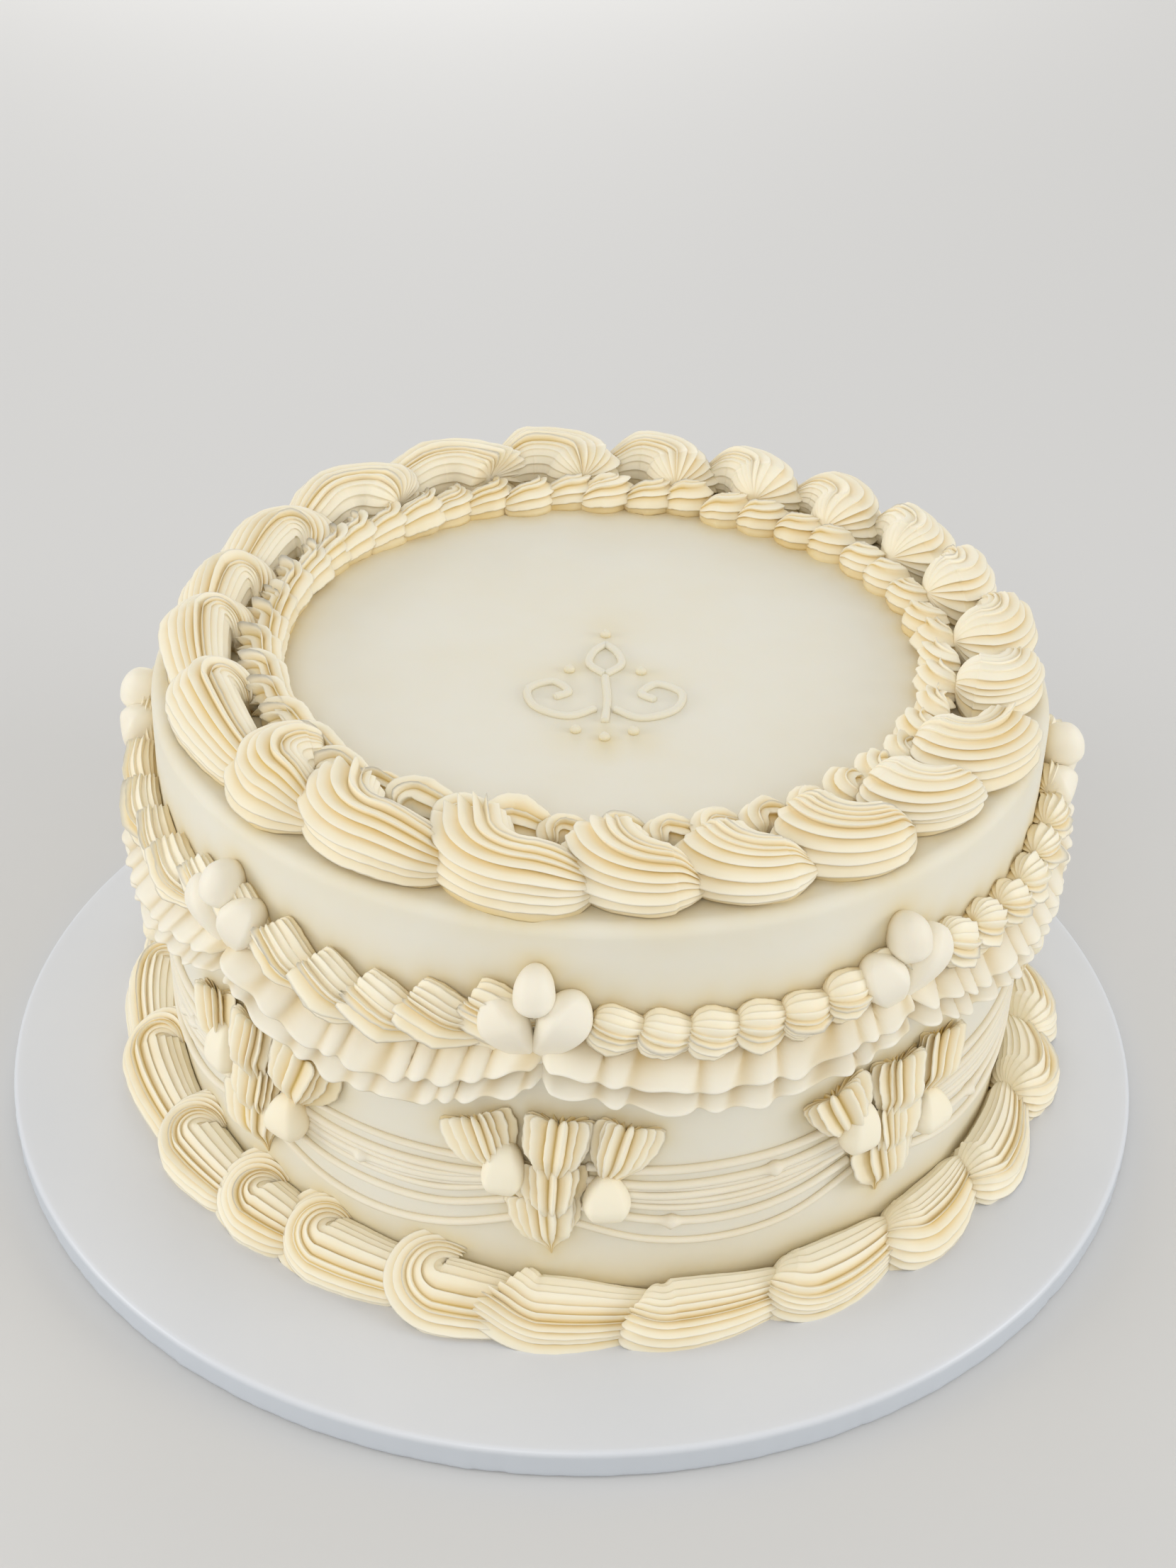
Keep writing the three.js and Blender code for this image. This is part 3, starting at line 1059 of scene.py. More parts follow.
@dataclass(frozen=True)
class IcedBody:
    """The cake under its smooth coat: straight side, flat top, softly rounded edge.

    Attributes:
        form: The cake's sizes.
        edge: Radius of its rounded edge.
        waver: How far its side strays from a true round.
        near, wide: How far from the piping the strong and the faint painted warm shade on the coat reach.
        steps: Facets round it.
    """

    form: CakeForm
    edge: float = 3.2 * MM
    waver: float = 0.22 * MM
    near: float = 2.6 * MM
    wide: float = 10 * MM
    steps: int = 400

    def build(self) -> None:
        """Spins the coat, lets it waver as the scraper did and paints warm shade on it beside the piping."""
        radius, top, edge = self.form.radius, self.form.top, self.edge
        foot = self.form.board_top - 0.2 * MM
        side = [(radius, foot + (top - edge - foot) * i / 64) for i in range(64)]
        border = [(radius - edge - 2 * MM * i, top) for i in range(1, 17)]
        rings = [(border[-1][0] * share, top) for share in (0.95, 0.88, 0.78, 0.65, 0.5, 0.35, 0.2, 0.1, 0.0)]
        profile = [(0.0, foot)] + side + arc((radius - edge, top - edge), edge, 0, 90, 8) + border + rings
        mesh = spin_profile(profile, self.steps)
        hollow = mesh.verts.layers.float.new("hollow")
        laid = self.laid_icing()
        for vert in mesh.verts:
            angle = math.atan2(vert.co.y, vert.co.x)
            wave = math.sin(3 * angle + 40 * vert.co.z) + math.sin(7 * angle - 55 * vert.co.z + 1.3)
            wave += 0.6 * math.sin(13 * angle + 90 * vert.co.z + 0.4)
            out = math.hypot(vert.co.x, vert.co.y) / radius
            vert.co.x *= 1 + self.waver * wave * out / (2.4 * radius)
            vert.co.y *= 1 + self.waver * wave * out / (2.4 * radius)
            place = (vert.co.x + self.form.axis_x, vert.co.y + self.form.axis_y, vert.co.z)
            gap = laid.find(place)[2]
            # Painted shade: warm shade on the coat, strong close to the piping and faint further off, over a
            # slight even base.
            vert[hollow] = 0.05 + 0.55 * math.exp(-gap / self.near) + 0.14 * math.exp(-gap / self.wide)
        bmesh.ops.translate(mesh, verts=mesh.verts, vec=(self.form.axis_x, self.form.axis_y, 0))
        make_piece(mesh, "smooth_coat", SMOOTH_CREAM, Slot.SMOOTH, "cake_body")

    @staticmethod
    def laid_icing() -> KDTree:
        """Sorts the piping's points.

        Returns:
            The points, ready to be searched by nearness.
        """
        points = np.vstack(Piping.laid)
        tree = KDTree(len(points))
        for i, point in enumerate(points):
            tree.insert(point, i)
        tree.balance()
        return tree


# ---- Borders ------------------------------------------------------------------------------------


@dataclass(frozen=True)
class ShellBorder:
    """A run of scroll shells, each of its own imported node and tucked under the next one's head.

    Attributes:
        form: The cake's sizes.
        prefix: Start of the nodes' names.
        count: Number of shells.
        scroll: The shell at its usual size.
        nozzle: What it is piped with.
        radius, height, lean: Where its line lies.
        inset: How much further in the border lies on the left than on the right.
        overhang: How far it may hang over the top's rim.
        overlap: How far a tail runs in under the next head.
        turns: Least and greatest turn of a head, in degrees: it is least on the right.
        curl: Leftness where heads start to turn further, and over how much of it they do.
        fan: Leftness where heads start as an open fan, and over how much of it they do.
        tips: Length of the ridges' tips at a fan, at a curled head and at a domed one.
        swings: How widely a fully curled head swings at its start and at its end.
        sweep: How much further than the least turn a domed head turns, in degrees.
        swerve: How much further inward than the rest an uncurled shell's tail runs.
        taper: How much thinner than the rest an uncurled shell's tail is.
        waist: How deep the notch is on the inner side of the bend.
        dome: How rounded the start of a domed head is.
        swell: How much larger than its middle a domed head starts.
        sag: How much flatter than its head a domed shell's tail is.
        fill: How much wider than usual a curled shell's tail is on its inner side.
        crisp: Least and greatest depth of the ridges at the heads: it is least on the right.
        rows: Mesh rows along each shell.
        seed: Seed of the hand's unevenness.
    """

    form: CakeForm
    prefix: str
    count: int
    scroll: Scroll
    nozzle: Nozzle
    radius: float
    height: float
    lean: float = 0.0
    inset: float = 0.0
    overhang: float = 0.0
    overlap: float = 8 * MM
    turns: tuple[float, float] = (60, 168)
    curl: tuple[float, float] = (0.84, 0.13)
    fan: tuple[float, float] = (0.68, 0.17)
    tips: tuple[float, float, float] = (4.6 * MM, 1.8 * MM, 0.0)
    swings: tuple[float, float] = (2.3 * MM, 8.4 * MM)
    sweep: float = 26
    swerve: float = 1 * MM
    taper: float = 0.0
    waist: float = 0.2
    dome: float = 0.95
    swell: float = 0.26
    sag: float = 0.42
    fill: float = 0.1
    crisp: tuple[float, float] = (0.18, 1.0)
    rows: int = 60
    seed: int = 11

    def build(self) -> None:
        """Pipes every shell as a piece of its own."""
        nodes = [f"{self.prefix}_{i + 1:02d}" for i in range(self.count)]
        heads = [self.form.bearing(node)[0] for node in nodes]
        girth = self.form.girth if self.lean else self.radius
        for i, (node, head) in enumerate(zip(nodes, heads)):
            icing = Piping(self.seed * 100 + i)
            gap = (heads[(i + 1) % self.count] - head) % TAU
            leftness = 0.5 - 0.5 * math.cos(head + 0.12)
            scroll = self.shape(leftness, icing.rng)
            head_size = scroll.head_size()
            scroll = replace(scroll, arm_out=max(gap * girth - head_size + self.overlap, 4 * MM))
            place = Place(
                self.form,
                angle=head + head_size / girth,
                radius=self.radius - self.inset * leftness,
                height=self.height,
                lean=self.lean,
                overhang=self.overhang,
            )
            icing.pipe(scroll, self.nozzle, place, self.rows)
            icing.finish(f"{node}_piped", PIPED_CREAM, Slot.PIPED, node)

    def shape(self, leftness: float, rng: np.random.Generator) -> Scroll:
        """The shell as the hand made it at one bearing: domed, fanned or curled.

        Args:
            leftness: 0 at the cake's right and 1 at its left.
            rng: Source of the hand's unevenness.

        Returns:
            The shell, its tail still at the usual length.
        """
        base = self.scroll
        curl = float(ease((leftness - self.curl[0]) / self.curl[1]))
        fan = math.exp(-(((leftness - self.fan[0]) / self.fan[1]) ** 2))
        size = rng.uniform(0.95, 1.06)
        domed = (1 - fan) * (1 - curl)
        turn = self.turns[0] + (self.turns[1] - self.turns[0]) * curl
        turn = turn + self.sweep * domed + rng.uniform(-8, 8)
        crisp = self.crisp[0] + (self.crisp[1] - self.crisp[0]) * leftness**0.7
        crisp = crisp + rng.uniform(-0.1, 0.1)
        turn_out = base.turn_out + (self.swings[1] - base.turn_out) * curl
        return replace(
            base,
            turn=math.radians(min(turn, max(self.turns))),
            reach=base.reach * size * (1 - 0.06 * curl),
            height=base.height * rng.uniform(0.94, 1.07),
            turn_in=(base.turn_in + (self.swings[0] - base.turn_in) * curl) * rng.uniform(0.9, 1.1),
            turn_out=turn_out * rng.uniform(0.96, 1.04),
            arm_in=base.arm_in * (1 + 0.3 * domed) * (1 - 0.92 * curl**2) * rng.uniform(0.85, 1.1),
            shift=base.shift + turn_out - self.swings[1],
            start=0.84 + 0.18 * fan * (1 - curl) + self.swell * domed - 0.46 * curl,
            sag=self.sag * (0.3 + 0.7 * domed),
            close=0.5 + 0.7 * domed,
            fill=self.fill * max(curl, 0.4 * fan),
            cap=max(self.dome + (0.15 - self.dome) * fan - 0.45 * curl**2 * (1 - fan), 0.12),
            waist=self.waist * (1 - 0.6 * curl),
            stretch=base.stretch - 0.2 * curl * (base.stretch - 1) / 0.3,
            nib=fan * self.tips[0] + (1 - fan) * (curl * self.tips[1] + (1 - curl) * self.tips[2]),
            bite=1.3 * fan + 0.5 * curl,
            head_relief=min(max(crisp, 0.1), 1.0),
            drift=base.drift * rng.uniform(0.5, 1.5) + self.swerve * domed,
            tail=base.tail * (1 - self.taper * (1 - curl)),
        )


@dataclass(frozen=True)
class BeadBorder:
    """The ring of small turned beads inside the top border."""

    form: CakeForm
    count: int = 47
    radius: float = 88.6 * MM
    scroll: Scroll = Scroll(
        turn=math.radians(120),
        turn_in=2.6 * MM,
        turn_out=4.2 * MM,
        arm_in=0.6 * MM,
        arm_out=6 * MM,
        reach=4.9 * MM,
        height=9.6 * MM,
        tail=0.6,
        head_relief=0.5,
        start=0.8,
        cap=0.8,
        stretch=1.1,
        mirrored=True,
    )
    nozzle: Nozzle = Nozzle(ridges=11, groove=0.32, ragged=0.03, droop=0.3)
    overlap: float = 3.2 * MM
    rows: int = 22

    def build(self) -> None:
        """Pipes all the beads into one piece."""
        icing = Piping(23)
        rng = icing.rng
        pitch = TAU / self.count
        for i in range(self.count):
            head = pitch * i + rng.uniform(-0.012, 0.012)
            leftness = 0.5 - 0.5 * math.cos(head)
            size = rng.uniform(0.94, 1.08)
            scroll = replace(
                self.scroll,
                turn=self.scroll.turn * rng.uniform(0.85, 1.1) * (1 - 0.65 * leftness**2),
                reach=self.scroll.reach * size * (1 - 0.12 * leftness**3),
                height=self.scroll.height * size,
                turn_out=self.scroll.turn_out * rng.uniform(0.8, 1.2),
                tail=0.5 + 0.25 * leftness,
                cap=0.9 - 0.5 * leftness**2,
                nib=4.5 * MM * leftness**2,
                bite=0.6 * leftness**2,
                head_relief=0.25 + 0.75 * leftness**1.3,
            )
            head_size = scroll.head_size()
            arm = pitch * self.radius - head_size + self.overlap * (1 + 1.4 * leftness**2)
            angle = head + head_size / self.radius
            place = Place(self.form, angle, self.radius + rng.uniform(-0.5, 0.5) * MM, self.form.top)
            icing.pipe(replace(scroll, arm_out=arm), self.nozzle, place, self.rows)
        icing.finish("bead_ring_piped", PIPED_CREAM, Slot.PIPED, "bead_ring")


# ---- Swags on the side --------------------------------------------------------------------------


@dataclass(frozen=True)
class Hang:
    """A line that hangs between two clusters: its height there and how far it dips between."""

    peak: float
    sag: float

    def height(self, share: Array | float, extra: float = 0.0) -> Array:
        """Height above the board at a share of the way across the bay."""
        return self.peak - (self.sag + extra) * np.sin(math.pi * np.asarray(share, float))

    def slope(self, share: float, width: float) -> float:
        """Angle of the line, down when positive, where the bay is `width` long."""
        return math.atan(self.sag * math.pi * math.cos(math.pi * share) / width)


@dataclass(frozen=True)
class Bay:
    """The stretch between two flower clusters.

    Attributes:
        index: Number of the motif at its start.
        start, end: Bearings of its two clusters.
        beads: Number of small shells in its swag.
        fan: How much larger and more open than usual these shells are.
        pleats: Number of folds in each of its frills.
        gather: How much closer the folds are at its end than at its start.
        fold: Depth of the folds, as a factor.
        deeper: How much further than usual its frills hang.
    """

    index: int
    start: float
    end: float
    beads: int
    fan: float
    pleats: int
    gather: float
    fold: float
    deeper: float

    @property
    def span(self) -> float:
        """Angle from one cluster to the other."""
        return self.end - self.start

    def angle(self, share: Array | float) -> Array:
        """Bearing at a share of the way across."""
        return self.start + self.span * np.asarray(share, float)


def find_bays(form: CakeForm) -> list[Bay]:
    """Reads the clusters' bearings off the motifs below them.

    Args:
        form: The cake's sizes.

    Returns:
        The bays, in the order of the motifs.
    """
    habits = (  # beads, fan, pleats, gather, fold and deeper, the last in mm
        (6, 1.0, 11, 1.1, 0.8, 3),
        (6, 1.0, 11, 1.15, 0.75, 4),
        (8, 0.0, 9, 1.45, 0.85, 0),
        (8, 0.4, 14, 1.0, 1.0, 0.5),
        (7, 0.5, 12, 1.1, 1.0, 1.5),
        (7, 0.6, 11, 0.9, 0.9, 0),
        (7, 0.5, 13, 1.0, 1.0, 2),
        (7, 0.7, 12, 1.0, 1.0, 1),
    )
    starts = [sum(form.bearing(f"motif_{i + 1:02d}")) / 2 for i in range(len(habits))]
    bays = []
    for i, (start, (beads, fan, pleats, gather, fold, deeper)) in enumerate(zip(starts, habits)):
        gap = (starts[(i + 1) % len(starts)] - start) % TAU
        bays.append(Bay(i, start, start + gap, beads, fan, pleats, gather, fold, deeper * MM))
    return bays


@dataclass(frozen=True)
class Garland:
    """The swags' small shells and the three-petalled flowers between them.

    Attributes:
        form: The cake's sizes.
        bays: The stretches between the clusters.
        line: The line that the small shells follow.
        nozzle: What these are piped with.
        rows: Mesh rows along each of them.
        flower_height: Height of a flower's middle above the board.
        flower_turn: Angle from its cluster's bearing to the flower.
    """

    form: CakeForm
    bays: list[Bay]
    line: Hang = Hang(90 * MM, 5.5 * MM)
    nozzle: Nozzle = Nozzle(ridges=16, groove=0.36, points=5, ragged=0.04, droop=0.4, skirt=0.1, calm=0.55)
    rows: int = 18
    flower_height: float = 88.5 * MM
    flower_turn: float = -0.016

    def build(self) -> None:
        """Pipes the beads, then the flowers over their ends."""
        self.build_beads()
        self.build_flowers()

    def build_beads(self) -> None:
        """Pipes every bead of every bay into one piece."""
        icing = Piping(31)
        rng = icing.rng
        for bay in self.bays:
            width = bay.span * self.form.girth
            pitch = width / bay.beads
            nozzle = replace(self.nozzle, ridges=round(self.nozzle.ridges + 3 * bay.fan))
            for i in range(bay.beads):
                share = (i + 0.5) / bay.beads
                size = rng.uniform(0.93, 1.08)
                small = 0.78 if i in (0, bay.beads - 1) else 1.0
                half = (6.0 + 1.9 * bay.fan) * MM * size
                dip = (1.3 + 2.5 * bay.fan * rng.uniform(0.6, 1.3)) * MM
                shell = Shell(
                    start=(-(0.52 + 0.08 * bay.fan) * pitch, -dip),
                    end=((0.78 + 0.05 * bay.fan) * pitch * small, dip),
                    half_width=half,
                    height=(8.8 + 1.2 * bay.fan) * MM * rng.uniform(0.94, 1.06) * small,
                    tail=0.5 - 0.15 * bay.fan,
                    blunt=0.34 - 0.2 * bay.fan,
                    fullest=0.36 - 0.12 * bay.fan,
                    bow=-(0.8 + 0.6 * bay.fan) * MM,
                    relief=0.85 + 0.15 * bay.fan,
                    ramp=1 - 0.2 * bay.fan,
                    nib=(2.0 + 1.6 * bay.fan) * MM,
                    bite=0.2 + 0.3 * bay.fan,
                )
                above = float(self.line.height(share, 0.4 * bay.deeper))
                tilt = -self.line.slope(share, width) * 0.9
                place = Place.on_side(self.form, float(bay.angle(share)), above, tilt)
                icing.pipe(shell, nozzle, place, self.rows)
        icing.finish("garland_beads", PIPED_CREAM, Slot.PIPED, "garland")

    def build_flowers(self) -> None:
        """Presses three smooth petals over each meeting of two swags."""
        icing = Piping(37)
        rng = icing.rng
        for bay in self.bays:
            place = Place.on_side(self.form, bay.start + self.flower_turn, self.flower_height)
            petals = (  # start, end, half width, height in mm, fullest, press
                ((0.0, -15.0), (0.2, 0.5), 4.8, 8.2, 0.5, 0.0),
                ((-9.8, -6.2), (0.6, 12.6), 5.5, 8.4, 0.3, 0.12),
                ((10.6, -8.2), (-0.6, 12.2), 5.5, 8.4, 0.3, 0.12),
            )
            for head, tail, half, height, fullest, press in petals:
                size = rng.uniform(0.95, 1.05)
                shift = rng.uniform(-0.5, 0.5, 2)
                petal = Shell(
                    start=((head[0] + shift[0]) * MM, (head[1] + shift[1]) * MM),
                    end=(tail[0] * MM, tail[1] * MM),
                    half_width=half * MM * size,
                    height=height * MM * size,
                    tail=0.16 + 1.4 * press,
                    blunt=0.55,
                    fullest=fullest,
                    relief=0.0,
                    foot=2.4 * MM,
                    press=press,
                )
                icing.pipe(petal, PLAIN_NOZZLE, place, 24)
        icing.finish("flower_clusters", PALE_CREAM, Slot.PALE)


ROOT_GAP = 1.2 * MM  # how far off the side a frill's root lies


@dataclass(frozen=True)
class Frill:
    """One waved ruffle that hangs in every bay.

    Attributes:
        form: The cake's sizes.
        bays: The stretches it hangs in.
        node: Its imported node.
        root, lip: Lines of its upper and its lower edge.
        out: How far its lip stands off the side.
        seed: Seed of its unevenness.
        wave: Depth of its folds.
        thickness: Its thickness.
        slant: How many folds its lip is ahead of its root.
        columns_per_pleat, rows: Mesh columns in each fold, and rows down and up again.
    """

    form: CakeForm
    bays: list[Bay]
    node: str
    root: Hang
    lip: Hang
    out: float
    seed: int
    wave: float = 2.2 * MM
    thickness: float = 1.0 * MM
    slant: float = 0.5
    columns_per_pleat: int = 16
    rows: int = 22

    def build(self) -> None:
        """Rolls a flat grid round each bay's sheet, front and back, and closes it."""
        mesh = bmesh.new()
        hollow = mesh.verts.layers.float.new("hollow")
        step = 1e-3
        for bay in self.bays:
            columns = bay.pleats * self.columns_per_pleat
            sheet = bmesh.ops.create_grid(mesh, x_segments=columns, y_segments=self.rows, size=0.5)["verts"]
            plan = np.clip(np.array([vert.co[:2] for vert in sheet]) + 0.5, 0.0, 1.0)
            across, turn = plan[:, 0], TAU * plan[:, 1]
            fall = 0.5 - 0.5 * np.cos(turn)
            seed = self.seed * 10 + bay.index
            # Here depth is each point's amount of painted shade.
            middle, depth = self.shape(bay, across, fall, seed)
            along, down = (
                self.shape(bay, across + dx, fall + dy, seed)[0]
                - self.shape(bay, across - dx, fall - dy, seed)[0]
                for dx, dy in ((step, 0.0), (0.0, step))
            )
            normal = np.cross(down, along)
            normal /= np.linalg.norm(normal, axis=1)[:, None]
            half = 0.5 * self.thickness * np.sign(np.sin(turn)) * np.abs(np.sin(turn)) ** 0.4
            half = half * round_end(across, 0.01) * round_end(1 - across, 0.01)
            half[(plan[:, 1] == 0) | (plan[:, 1] == 1)] = 0
            for vert, point, deep in zip(sheet, middle + normal * half[:, None], depth):
                vert.co = point
                vert[hollow] = deep
            bmesh.ops.remove_doubles(mesh, verts=sheet, dist=1e-6)
        bmesh.ops.recalc_face_normals(mesh, faces=mesh.faces)
        make_piece(mesh, f"{self.node}_waved", PALE_CREAM, Slot.PALE, self.node)

    def shape(self, bay: Bay, across: Array, fall: Array, seed: int) -> tuple[Array, Array]:
        """Where each point of the sheet's middle goes.

        Args:
            bay: The bay it hangs in.
            across: Shares of the way across the bay.
            fall: Shares of the way from root to lip.
            seed: Seed of the unevenness.

        Returns:
            The points, and the amount of painted shade at each.
        """
        rng = np.random.default_rng(seed)
        fall = np.maximum(fall, 0)
        share = -0.015 + 1.03 * across
        uneven = 0.5 * ripple(rng, across, (1.3, 2.9, 4.7))
        phase = TAU * (bay.pleats * np.maximum(across, 0) ** bay.gather + self.slant * bay.fold * fall)
        phase = phase + 3.4 * uneven
        fold = 1 - 2 * (0.5 - 0.5 * np.sin(phase)) ** (3 - 1.9 * fall)
        depth = self.wave * bay.fold * (1.15 - 0.4 * across + 0.25 * ripple(rng, across, (2.1, 5.3)))
        depth = depth * fall**0.5 * (1 - 0.64 * fall**2)
        out = ROOT_GAP + self.out * fall**1.5 + depth * fold
        roll = bay.span * self.form.radius / (TAU * bay.pleats)
        side = -np.minimum(0.2 * depth, 0.8 * roll) * np.cos(phase) + 0.2 * depth * fold
        root, lip = self.root.height(share), self.lip.height(share, bay.deeper)
        height = root + (lip - root) * fall - 0.3 * depth * fold
        height = height + 0.6 * MM * ripple(rng, across, (4.3, 8.1)) * fall
        close = ease(across / 0.04) * ease((1 - across) / 0.04)
        radius = self.form.radius + np.maximum(out * (0.4 + 0.6 * close), 0)
        angle = bay.angle(share) + side / radius
        x = self.form.axis_x + radius * np.cos(angle)
        y = self.form.axis_y + radius * np.sin(angle)
        # Painted shade: strongest in the valleys of the folds and near the root, fading towards the lip.
        hollow = np.clip(0.8 * (0.5 - 0.5 * fold) ** 1.6 * (1 - 0.5 * fall) + 0.8 * (1 - fall) ** 2, 0, 1)
        return np.stack([x, y, self.form.board_top + height], axis=-1), hollow


@dataclass(frozen=True)
class Motif:
    """The piece that hangs under a cluster: fan shells, a chain down the middle and two dots."""

    form: CakeForm
    bays: list[Bay]
    nozzle: Nozzle = Nozzle(ridges=15, groove=0.42, ragged=0.035, skirt=0.1, layered=False)
    shift: float = 2.3 * MM

    def build(self) -> None:
        """Pipes one motif under every cluster, each as a piece of its own."""
        for bay in self.bays:
            place = Place.on_side(self.form, bay.start + self.shift / self.form.radius)
            icing = Piping(500 + bay.index)
            for stroke in self.fans(icing.rng):
                icing.pipe(stroke, self.nozzle, place, 28)
            for dot in self.dots(icing.rng):
                icing.pipe(dot, PLAIN_NOZZLE, place, 24)
            node = f"motif_{bay.index + 1:02d}"
            icing.finish(f"{node}_piped", PIPED_CREAM, Slot.PIPED, node)

    def fans(self, rng: np.random.Generator) -> list[Shell]:
        """Plans the ridged strokes.

        Args:
            rng: Source of the hand's unevenness.

        Returns:
            The strokes, from the sides to the middle and down.
        """
        plans = (  # start and end as u and height above the board, half width, height in mm, tail
            ((-17.5, 54.0), (-11.5, 39), 8.4, 8.6, 0.2),
            ((17.0, 54.5), (12.0, 37), 8.9, 8.6, 0.2),
            ((1.2, 55.5), (0, 39), 7.8, 9.4, 0.4),
            ((0.0, 41.5), (0, 26), 7.8, 8.6, 0.3),
            ((-1.8, 32.0), (0.2, 15), 9.6, 8.6, 0.06),
        )
        strokes = []
        for (u0, z0), (u1, z1), half, height, tail in plans:
            start = ((u0 + rng.uniform(-0.6, 0.6)) * MM, -(z0 + rng.uniform(-0.6, 0.6)) * MM)
            strokes.append(
                Shell(
                    start=start,
                    end=(u1 * MM, -z1 * MM),
                    half_width=half * MM * rng.uniform(0.94, 1.06),
                    height=height * MM,
                    tail=tail,
                    blunt=0.08,
                    fullest=0.1,
                    ramp=0.42,
                    nib=4.2 * MM,
                    bite=0.3,
                )
            )
        return strokes

    def dots(self, rng: np.random.Generator) -> list[Shell]:
        """Plans the smooth drops.

        Args:
            rng: Source of the hand's unevenness.

        Returns:
            The two drops beside the middle chain.
        """
        drops = (  # start, end, half width and height in mm
            ((-10.6, 51), (-11.6, 36), 5.0, 9.0),
            ((12.6, 43), (13.2, 30), 6.0, 9.8),
        )
        return [
            Shell(
                start=(u0 * MM, -z0 * MM),
                end=(u1 * MM, -z1 * MM),
                half_width=half * MM * rng.uniform(0.95, 1.05),
                height=height * MM,
                tail=0.95,
                blunt=0.66,
                fullest=0.75,
                relief=0.0,
                press=0.16,
            )
            for (u0, z0), (u1, z1), half, height in drops
        ]


@dataclass(frozen=True)
class Strings:
    """The fine strings that hang from motif to motif.

    Attributes:
        form: The cake's sizes.
        bays: The stretches between the motifs.
        radius: Half a string's thickness.
        lines: For each string its distance from the motifs and its heights at the ends and the middle, in mm.
    """

    form: CakeForm
    bays: list[Bay]
    radius: float = 1.0 * MM
    lines: tuple[tuple[float, float, float], ...] = (
        (10, 43.8, 41.7),
        (10, 39.8, 36.8),
        (10, 38.4, 35.0),
        (10, 37.2, 33.4),
        (10, 36.0, 31.7),
        (10, 34.6, 29.8),
        (8, 31.5, 25.2),
        (6, 26.5, 18.2),
    )

    def build(self) -> None:
        """Lays eight strings in every bay."""
        icing = Piping(61)
        rng = icing.rng
        for bay in self.bays:
            width = bay.span * self.form.girth
            place = Place.on_side(self.form, bay.start)
            for inset, ends, middle in self.lines:
                middle = middle + rng.uniform(-0.5, 0.5)
                points = [(inset * MM, -ends * MM)]
                for share in (0.25, 0.5, 0.75):
                    fall = math.sin(math.pi * share) ** 0.8
                    height = ends + (middle - ends) * fall + rng.uniform(-0.3, 0.3)
                    points.append((inset * MM + share * (width - 2 * inset * MM), -height * MM))
                points.append((width - inset * MM, -(ends + rng.uniform(-1, 1)) * MM))
                blob = 0.9 if rng.uniform() < 0.12 else 0.0
                radius = self.radius * rng.uniform(0.9, 1.15)
                thread = Thread(tuple(points), radius, blob, blob_at=rng.uniform(0.3, 0.7))
                icing.pipe(thread, STRING_NOZZLE, place, 64)
        icing.finish("side_strings", PALE_CREAM, Slot.PIPED)


@dataclass(frozen=True)
class TopOrnament:
    """A generic piped flourish in the middle of the top: two scrolls, a sprig and a few dots."""

    form: CakeForm
    x: float = 1 * MM
    y: float = -18 * MM
    radius: float = 1.05 * MM

    def build(self) -> None:
        """Lays the flourish and its mirror image."""
        icing = Piping(71)
        place = FlatPlace(self.form, self.x, self.y)
        scroll = ((2, -7), (9, -11), (17, -7), (19, 1), (13, 5), (9, 0.5), (12.5, -2.5))
        leaf = ((0, 9), (4, 14), (3, 20), (0, 24))
        stem = ((0, -13), (0.6, -3), (0, 8))
        for side in (-1, 1):
            for points in (scroll, leaf):
                path = tuple((side * u * MM, v * MM) for u, v in points)
                icing.pipe(Thread(path, self.radius), STRING_NOZZLE, place, 60)
        path = tuple((u * MM, v * MM) for u, v in stem)
        icing.pipe(Thread(path, self.radius), STRING_NOZZLE, place, 40)
        for u, v in ((-9, 11), (9, 11), (0, 29), (-7, -17), (7, -17), (0, -20)):
            dot = Shell(
                start=((u - 1.4) * MM, v * MM),
                end=((u + 1.4) * MM, v * MM),
                half_width=1.4 * MM,
                height=1.8 * MM,
                tail=0.9,
                blunt=0.5,
                fullest=0.5,
                relief=0.0,
            )
            icing.pipe(dot, Nozzle(ridges=0, points=14), place, 10)
        icing.finish("top_flourish", SMOOTH_CREAM, Slot.PIPED)


# ---- The studio ---------------------------------------------------------------------------------


@dataclass(frozen=True)
class Viewpoint:
    """The camera that took the reference picture, found from the rims of board and cake."""

    picture: tuple[int, int] = (1659, 2212)
    focal_px: float = 3196.8
    distance: float = 634.6 * MM
    elevation_deg: float = 39.68
    roll_deg: float = -1.505
    target_px: tuple[float, float] = (810.0, 1431.9)
    film: float = 36.0

    def build(self, target: Vector) -> None:
        """Sets up the camera, with the target where the picture has it.

        Args:
            target: The centre of the board's top.
        """
        elevation, roll = math.radians(self.elevation_deg), math.radians(self.roll_deg)
        across = math.atan((self.target_px[0] - self.picture[0] / 2) / self.focal_px)
        down = math.atan((self.target_px[1] - self.picture[1] / 2) / self.focal_px)
        turn = Euler((math.pi / 2 - elevation, 0, 0)).to_matrix()
        turn = turn @ Matrix.Rotation(-roll, 3, "Z") @ Matrix.Rotation(across, 3, "Y")
        turn = turn @ Matrix.Rotation(down, 3, "X")
        back = Vector((0, -math.cos(elevation), math.sin(elevation)))
        data = bpy.data.cameras.new("camera")
        data.sensor_width = self.film
        data.lens = self.focal_px * self.film / max(self.picture)
        data.clip_start = 0.01
        camera = bpy.data.objects.new("camera", data)
        camera.matrix_world = Matrix.Translation(target + back * self.distance) @ turn.to_4x4()
        bpy.context.scene.collection.objects.link(camera)
        bpy.context.scene.camera = camera


